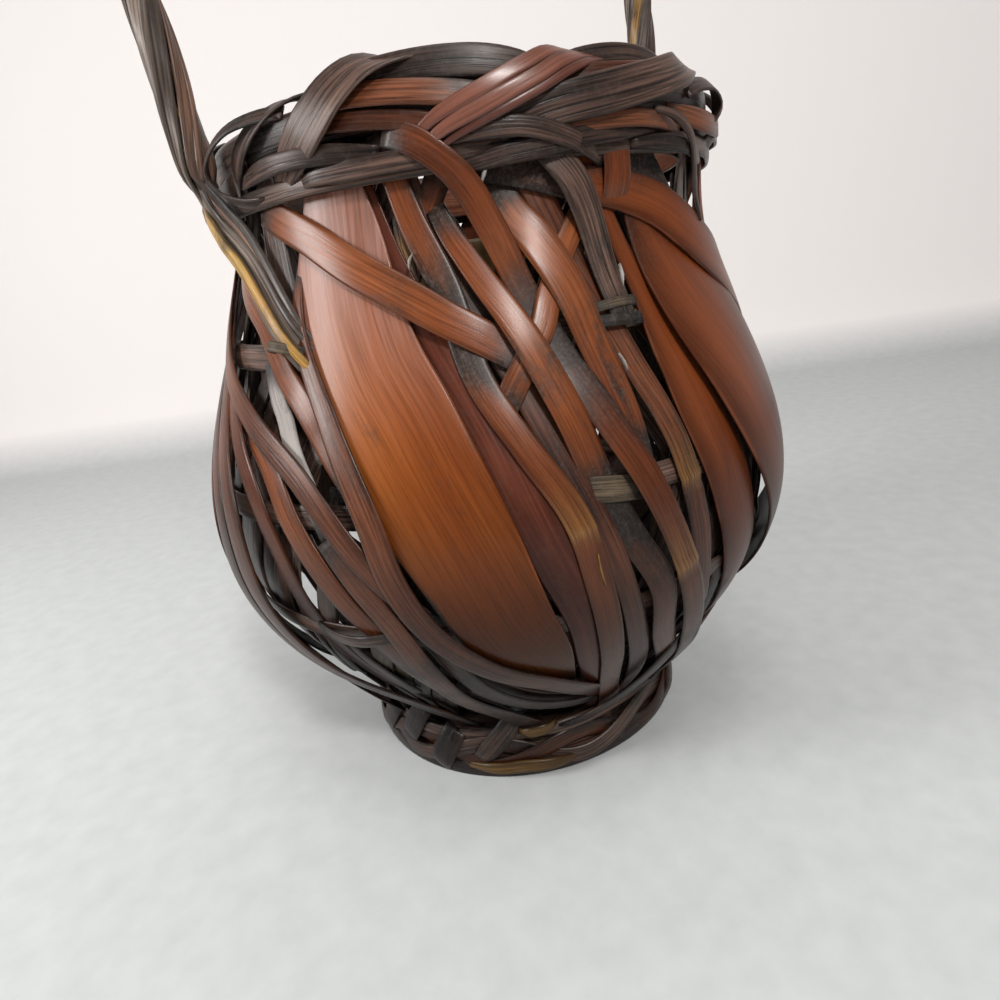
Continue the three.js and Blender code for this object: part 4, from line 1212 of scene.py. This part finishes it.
def laced(rows, tone_step, roll=1.0):
    """The rows' strips, once for each third of the rim, a little different in tone each time."""
    strips = []
    for third, turn in enumerate(RIM_TURNS):
        for width, tone, points in rows:
            tone = (tone + tone_step * third) % 1
            strips.append(rim_strip(moved(points, turn), width / 1000, tone, roll=roll))
    return strips


add_piece("rim_lacing_over", laced(RIM_CLIMBERS, 0.13), smoked, ["rim_lacing_over"])
add_piece("rim_glossy_strips", laced(RIM_GLOSSY, 0.11), polished)
add_piece("rim_bands", [*laced(RIM_BANDS, 0.17), rim_strip(RIM_TAIL, 0.0030, 0.7)], smoked)
add_piece("rim_top_strips", laced(RIM_TOPS, 0.19, roll=0.15), smoked)
add_piece("rim_lacing_under", laced(RIM_REDS, 0.15), stained, ["rim_lacing_under"])
# Two strip ends stand out of the rim in open loops, one by each leg of the handle.
RIM_LOOPS = [
    (4.6, 0.55, [
        (-33, 225.6, 83.6), (-39, 226, 86), (-45, 224.6, 89.6), (-50, 220.6, 92), (-52.5, 215.5, 92.4),
        (-51, 210, 90), (-46.5, 206.6, 86.8), (-41, 205.6, 84.4),
    ]),
    (5.6, 0.5, [
        (50, 221, 84.4), (55, 223, 85.8), (60, 223.4, 87.6), (63.5, 220.4, 88.8), (63.5, 215.6, 88.4),
        (60, 211.8, 86.8), (54, 210.2, 85),
    ]),
]
loops = []
for width, tone, points in RIM_LOOPS:
    degrees, height, radius = np.array(points, float).T
    line, out = round_line(degrees, radius / 1000, height / 1000)
    middle = line.mean(0) * [0.985, 0.985, 1]
    facing = unit(unit(line - middle) + 0.7 * out)
    loops.append(free_strip(line, facing, width / 1000, RIM_THICKNESS, 0.0001, tone))
add_piece("rim_loops", loops, smoked)

# Handle: long thin strips, laid together in three strands and twisted over an arch. Their tails fan out
# below the rim, lie down on the wall and are tucked in under the slats. One strip is bare and golden.
HANDLE_TOP = 0.430
LEFT_HALF_WIDTH = 0.1005
RIGHT_HALF_WIDTH = 0.0925
ARCH_RISE = 0.112
ARCH_STEPS = 16
LEG_STEPS = 9
LEG_FOOT = RIM_HEIGHT - 0.008
HALF_TWIST = 750.0
FAN_TURN = 0.7
FAN_RISE = 0.0008
HANDLE_THICKNESS = 0.0011
HANDLE_CROWN = 0.0002
OVER_RIM = 0.0078
LEG_RADIUS = RIM_RADIUS + OVER_RIM - 0.0004
# Each tail's points: turn from the leg, then drop below the rim's top and distance off the wall, both
# in millimetres.
TAILS = {
    "low": [
        (-1.4, 18, 8.2), (5, 28.5, 7.4), (14.2, 38.2, 6.6), (21, 48, 6.2), (26.6, 58, 5.0),
        (29.8, 64, 2.4), (32.6, 69, -2.4),
    ],
    "middle": [
        (-1, 16, 8.4), (1.4, 24, 6.4), (8.8, 31.8, 4.6), (16, 40.5, 4.0), (23, 52, 3.4),
        (26.6, 59, 1.8), (29.6, 64.5, -1.2),
    ],
    "high": [
        (0.8, 14, 7.6), (4.4, 21.5, 5.4), (10.4, 29, 4.0), (17, 38.8, 3.2), (23.4, 50, 2.4),
        (26.8, 57, 1.0), (29.8, 63, -1.6),
    ],
}


def half_strip(phase, tail, reach, fan, half_width):
    """Half of a handle strip, from the crown down its left leg. The arch is a quarter ellipse and a
    straight leg. The strip keeps the given reach from that line and turns round it evenly. Its tail then
    lies on the wall, set aside from the tail's own line by the fan."""
    swing = np.linspace(1, 0, ARCH_STEPS + 1) * np.pi / 2
    down = np.linspace(0, 1, LEG_STEPS + 1)[1:]
    out = np.r_[half_width * np.cos(swing), half_width + (LEG_RADIUS - half_width) * down]
    spring = HANDLE_TOP - ARCH_RISE
    z = np.r_[spring + ARCH_RISE * np.sin(swing), spring + (LEG_FOOT - spring) * down]
    run = unit(np.stack([np.gradient(out), np.gradient(z)], -1))
    run[0] = (1, 0)
    turn = np.radians(phase + HALF_TWIST * np.linspace(0, 1, len(out)))
    facing = np.stack([np.cos(turn) * run[:, 1], np.sin(turn), np.cos(turn) * run[:, 0]], -1)
    line = np.stack([-out, np.zeros_like(out), z], -1) + reach * facing
    turns, drops, off = np.array(TAILS[tail], float).T
    angle = HANDLE_ANGLE + turns + FAN_TURN * fan
    height = RIM_HEIGHT - drops / 1000 + FAN_RISE * fan
    tail_line = on_body(angle, height, off / 1000)
    tail_facing = on_body(angle, height, off / 1000 + 0.01) - tail_line
    return np.vstack([line, tail_line]), np.vstack([facing, unit(tail_facing)])


def handle_strip(phase, left_tail, right_tail, reach, fan, width, tone):
    """A whole strip: the left half, then a half of the opposite phase, turned half round the basket."""
    left_line, left_facing = half_strip(phase, left_tail, reach, fan, LEFT_HALF_WIDTH)
    right_line, right_facing = half_strip(-phase, right_tail, reach, fan, RIGHT_HALF_WIDTH)
    turned_round = np.array([-1, -1, 1])
    line = np.vstack([left_line[::-1], right_line[1:] * turned_round])
    facing = np.vstack([left_facing[::-1], right_facing[1:] * turned_round])
    widths = [width * 0.6, width, width, width, width, width, width * 0.6]
    return free_strip(line, facing, widths, HANDLE_THICKNESS, HANDLE_CROWN, tone)


# Lighter copies of the smoked and stained finishes for the handle: the paler skin is painted light and
# sheen on the high handle, and the dust and the worn pale edges are wear.
worn_and_lit_smoked = bamboo(
    "worn_and_lit_smoked_bamboo",
    deep=(0.040, 0.029, 0.024), skin=(0.120, 0.088, 0.073), pale=(0.23, 0.175, 0.140),
    soot=-0.03, dust=0.2, worn=0.4, gloss=(0.30, 0.46), coat=0.08, lines=0.5, low=0.4,
)
worn_and_lit_stained = bamboo(
    "worn_and_lit_stained_bamboo",
    deep=(0.034, 0.019, 0.0130), skin=(0.098, 0.051, 0.0350), pale=(0.190, 0.102, 0.068),
    soot=-0.02, dust=0.15, worn=0.4, gloss=(0.30, 0.46), coat=0.08, lines=0.5, low=0.4,
)
HANDLE_FINISHES = {"smoked": worn_and_lit_smoked, "golden": golden, "stained": worn_and_lit_stained}
# Each strand: slot, phase, tails on the left and right, and its strips. Each strip has a fan, and a
# reach and a width in millimetres.
STRANDS = [
    ("smoked", 0, "middle", "middle", [(-1, 4.0, 4.6), (1, 4.3, 4.2), (0, 5.1, 2.6)]),
    ("golden", 120, "low", "high", [(-0.3, 4.0, 4.7)]),
    ("stained", -120, "high", "low", [(-1, 4.1, 4.8), (1, 4.4, 4.0), (0.2, 5.2, 2.4)]),
]
for number, (slot, phase, left_tail, right_tail, rows) in enumerate(STRANDS, 1):
    strips = []
    for fan, reach, width in rows:
        strips.append(handle_strip(
            phase + 30 * fan, left_tail, right_tail, reach / 1000, fan, width / 1000, 0.75 + 0.2 * fan,
        ))
    node = f"handle_strand_{number}"
    add_piece(node, strips, HANDLE_FINISHES[slot], [node])
# Two dark strips lie beside the golden one and two fill the bundle's middle. Each row holds what
# handle_strip takes.
DARK_STRIPS = [
    (154, "middle", "high", 0.0043, -2.2, 0.0042, 0.7),
    (80, "middle", "high", 0.0041, 2.4, 0.0030, 0.4),
    (20, "middle", "middle", 0.0012, 0.5, 0.0050, 0.5),
    (200, "high", "low", 0.0012, 2.0, 0.0046, 0.3),
]
dark_strips = [handle_strip(*row) for row in DARK_STRIPS]
add_piece("handle_dark_strips", dark_strips, worn_and_lit_smoked)

# Water tube: a length of bamboo culm cut just below one joint, whose wall closes the tube's floor.
# It stands loose on the base slats, and it is lifted out to be filled.
culm = bamboo(
    "culm_bamboo", deep=(0.11, 0.060, 0.022), skin=(0.20, 0.118, 0.046), pale=(0.30, 0.195, 0.090),
    soot=-0.08, dust=0.1, worn=0.0, gloss=(0.34, 0.48), coat=0.1, lines=0.25, low=0.3,
)
liner_low, liner_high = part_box("water_liner")
LINER_WALL = 0.0035
LINER_FLOOR = 0.005
LIP_ROUND = 0.0009
CENTRE_RADIUS = 0.004
JOINT_RISE = 0.013
JOINT_BEAD = 0.0009
LINER_TURNS = 96
liner_radius = (liner_high.x - liner_low.x) / 2
bore = liner_radius - LINER_WALL
floor_top = liner_low.z + LINER_FLOOR


def bead(radius, z, size):
    """Profile points of a culm joint round the tube: a low half-sine ridge."""
    t = np.linspace(0, 1, 7)
    return [(radius + size * math.sin(math.pi * share), z + 3.0 * size * (share - 0.5)) for share in t]


profile = [(CENTRE_RADIUS, liner_low.z), (liner_radius - LIP_ROUND, liner_low.z)]
profile += [(liner_radius, liner_low.z + LIP_ROUND)]
profile += [(liner_radius, z) for z in np.linspace(liner_low.z + 0.004, liner_low.z + 0.008, 3)]
profile += bead(liner_radius, liner_low.z + JOINT_RISE, JOINT_BEAD)
profile += [(liner_radius, z) for z in np.linspace(liner_low.z + 0.018, liner_high.z - 0.004, 40)]
profile += [(liner_radius, liner_high.z - LIP_ROUND), (liner_radius - LIP_ROUND, liner_high.z)]
profile += [(bore + LIP_ROUND, liner_high.z), (bore, liner_high.z - LIP_ROUND)]
profile += [(bore, z) for z in np.linspace(liner_high.z - 0.004, floor_top + 0.006, 40)]
profile += [(bore - 0.0012, floor_top + 0.0012), (bore - 0.006, floor_top), (CENTRE_RADIUS, floor_top)]
profile = np.array(profile)
turns = np.linspace(0, 2 * np.pi, LINER_TURNS, endpoint=False)
radius, height = profile[:, :1], profile[:, 1:]
liner_rows = np.stack([
    radius * np.sin(turns), -radius * np.cos(turns), np.tile(height, (1, LINER_TURNS)),
], -1)
tube = {
    "points": liner_rows, "side": turns * liner_radius, "period": 2 * np.pi * liner_radius,
    "along": np.r_[0, np.cumsum(np.linalg.norm(np.diff(profile, axis=0), axis=1))],
    "across": np.zeros(LINER_TURNS), "tone": 0.5, "closed": False,
}
add_piece("water_liner", [tube], culm, ["water_liner"], body="liner")

# Floor and backdrop: one pale sheet that lies flat, bends up behind the basket and stands as a wall.
# A broad lamp stands on the left like a window, two hang in front and above, and the room is bright.
WALL_BACK = 0.72
WALL_BEND = 0.10
SHEET_HALF = 2.6
SHEET_COLUMNS = 31
bend = np.linspace(0, np.pi / 2, 17)
bend_start = WALL_BACK - WALL_BEND
sheet_profile = np.vstack([
    np.stack([np.linspace(-SHEET_HALF, bend_start, 30), np.zeros(30)], -1),
    np.stack([bend_start + WALL_BEND * np.sin(bend), WALL_BEND * (1 - np.cos(bend))], -1)[1:],
    np.stack([np.full(20, WALL_BACK), np.linspace(WALL_BEND, SHEET_HALF, 21)[1:]], -1),
])
sideways = np.linspace(-SHEET_HALF, SHEET_HALF, SHEET_COLUMNS)
grid = np.stack([
    np.tile(sideways, (len(sheet_profile), 1)), np.tile(sheet_profile[:, :1], (1, SHEET_COLUMNS)),
    np.tile(sheet_profile[:, 1:], (1, SHEET_COLUMNS)),
], -1)
index = np.arange(grid.shape[0] * SHEET_COLUMNS).reshape(-1, SHEET_COLUMNS)
quads = np.stack([index[:-1, :-1], index[:-1, 1:], index[1:, 1:], index[1:, :-1]], -1).reshape(-1, 4)
sheet_points = grid.reshape(-1, 3) @ np.array(front.to_3x3()).T
sheet_mesh = bpy.data.meshes.new("floor_and_wall")
sheet_mesh.from_pydata(sheet_points.tolist(), [], quads.tolist())
sheet_mesh.polygons.foreach_set("use_smooth", np.ones(len(quads), bool))
sheet = bpy.data.objects.new("floor_and_wall", sheet_mesh)
bpy.context.scene.collection.objects.link(sheet)
sheet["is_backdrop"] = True
# The paper is a mottled grey where it lies, and a paler, faintly glowing tint where it stands.
STANDING_TINT = (0.80, 0.765, 0.75, 1.0)
STANDING_GLOW = 0.22
PAPER_GREYS = [(0.3, (0.565, 0.592, 0.597)), (0.7, (0.615, 0.642, 0.647))]
new_paper = Finish("pale_paper")
paper_place = new_paper.add("ShaderNodeTexCoord", {}).outputs["Object"]
paper_height = new_paper.add("ShaderNodeSeparateXYZ", {0: paper_place}).outputs[2]
standing = new_paper.remap(paper_height, 0.0, 0.05, kind="LINEAR")
paper_grey = new_paper.ramp(new_paper.noise(paper_place, 90.0, 5.0), PAPER_GREYS)
paper = new_paper.close({
    "Base Color": new_paper.mix(standing, paper_grey, STANDING_TINT), "Roughness": 0.9,
    "Specular IOR Level": 0.1, "Emission Color": (1.0, 0.945, 0.93, 1.0),
    "Emission Strength": new_paper.times(standing, STANDING_GLOW),
})
sheet_mesh.materials.append(paper)


BASKET_MIDDLE = Vector((0, 0, 0.13))
ROOM_LIGHT = 0.26


def add_lamp(name, direction, distance, size, power, colour):
    """An area lamp in a direction seen from the front, aimed at the middle of the basket."""
    lamp = bpy.data.lights.new(name, "AREA")
    lamp.size = size
    lamp.energy = power
    lamp.color = colour
    back = (front.to_3x3() @ Vector(direction)).normalized()
    lamp_object = bpy.data.objects.new(name, lamp)
    turned_back = back.to_track_quat("Z", "Y").to_matrix().to_4x4()
    lamp_object.matrix_world = Matrix.Translation(back * distance + BASKET_MIDDLE) @ turned_back
    bpy.context.scene.collection.objects.link(lamp_object)


add_lamp("window_lamp", (-0.87, -0.28, 0.38), 1.0, 0.32, 6.4, (1.0, 0.98, 0.96))
add_lamp("front_lamp", (0.24, -0.74, 0.64), 1.1, 0.16, 6.6, (1.0, 0.97, 0.94))
add_lamp("ceiling_lamp", (0.05, -0.35, 0.94), 1.1, 0.45, 3.0, (1.0, 0.98, 0.96))
world = bpy.data.worlds.new("bright_room")
bpy.context.scene.world = world
world.use_nodes = True
room = world.node_tree.nodes["Background"]
room.inputs["Color"].default_value = (0.96, 0.95, 0.94, 1.0)
room.inputs["Strength"].default_value = ROOM_LIGHT
bpy.context.scene.view_settings.view_transform = "Standard"

low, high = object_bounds()
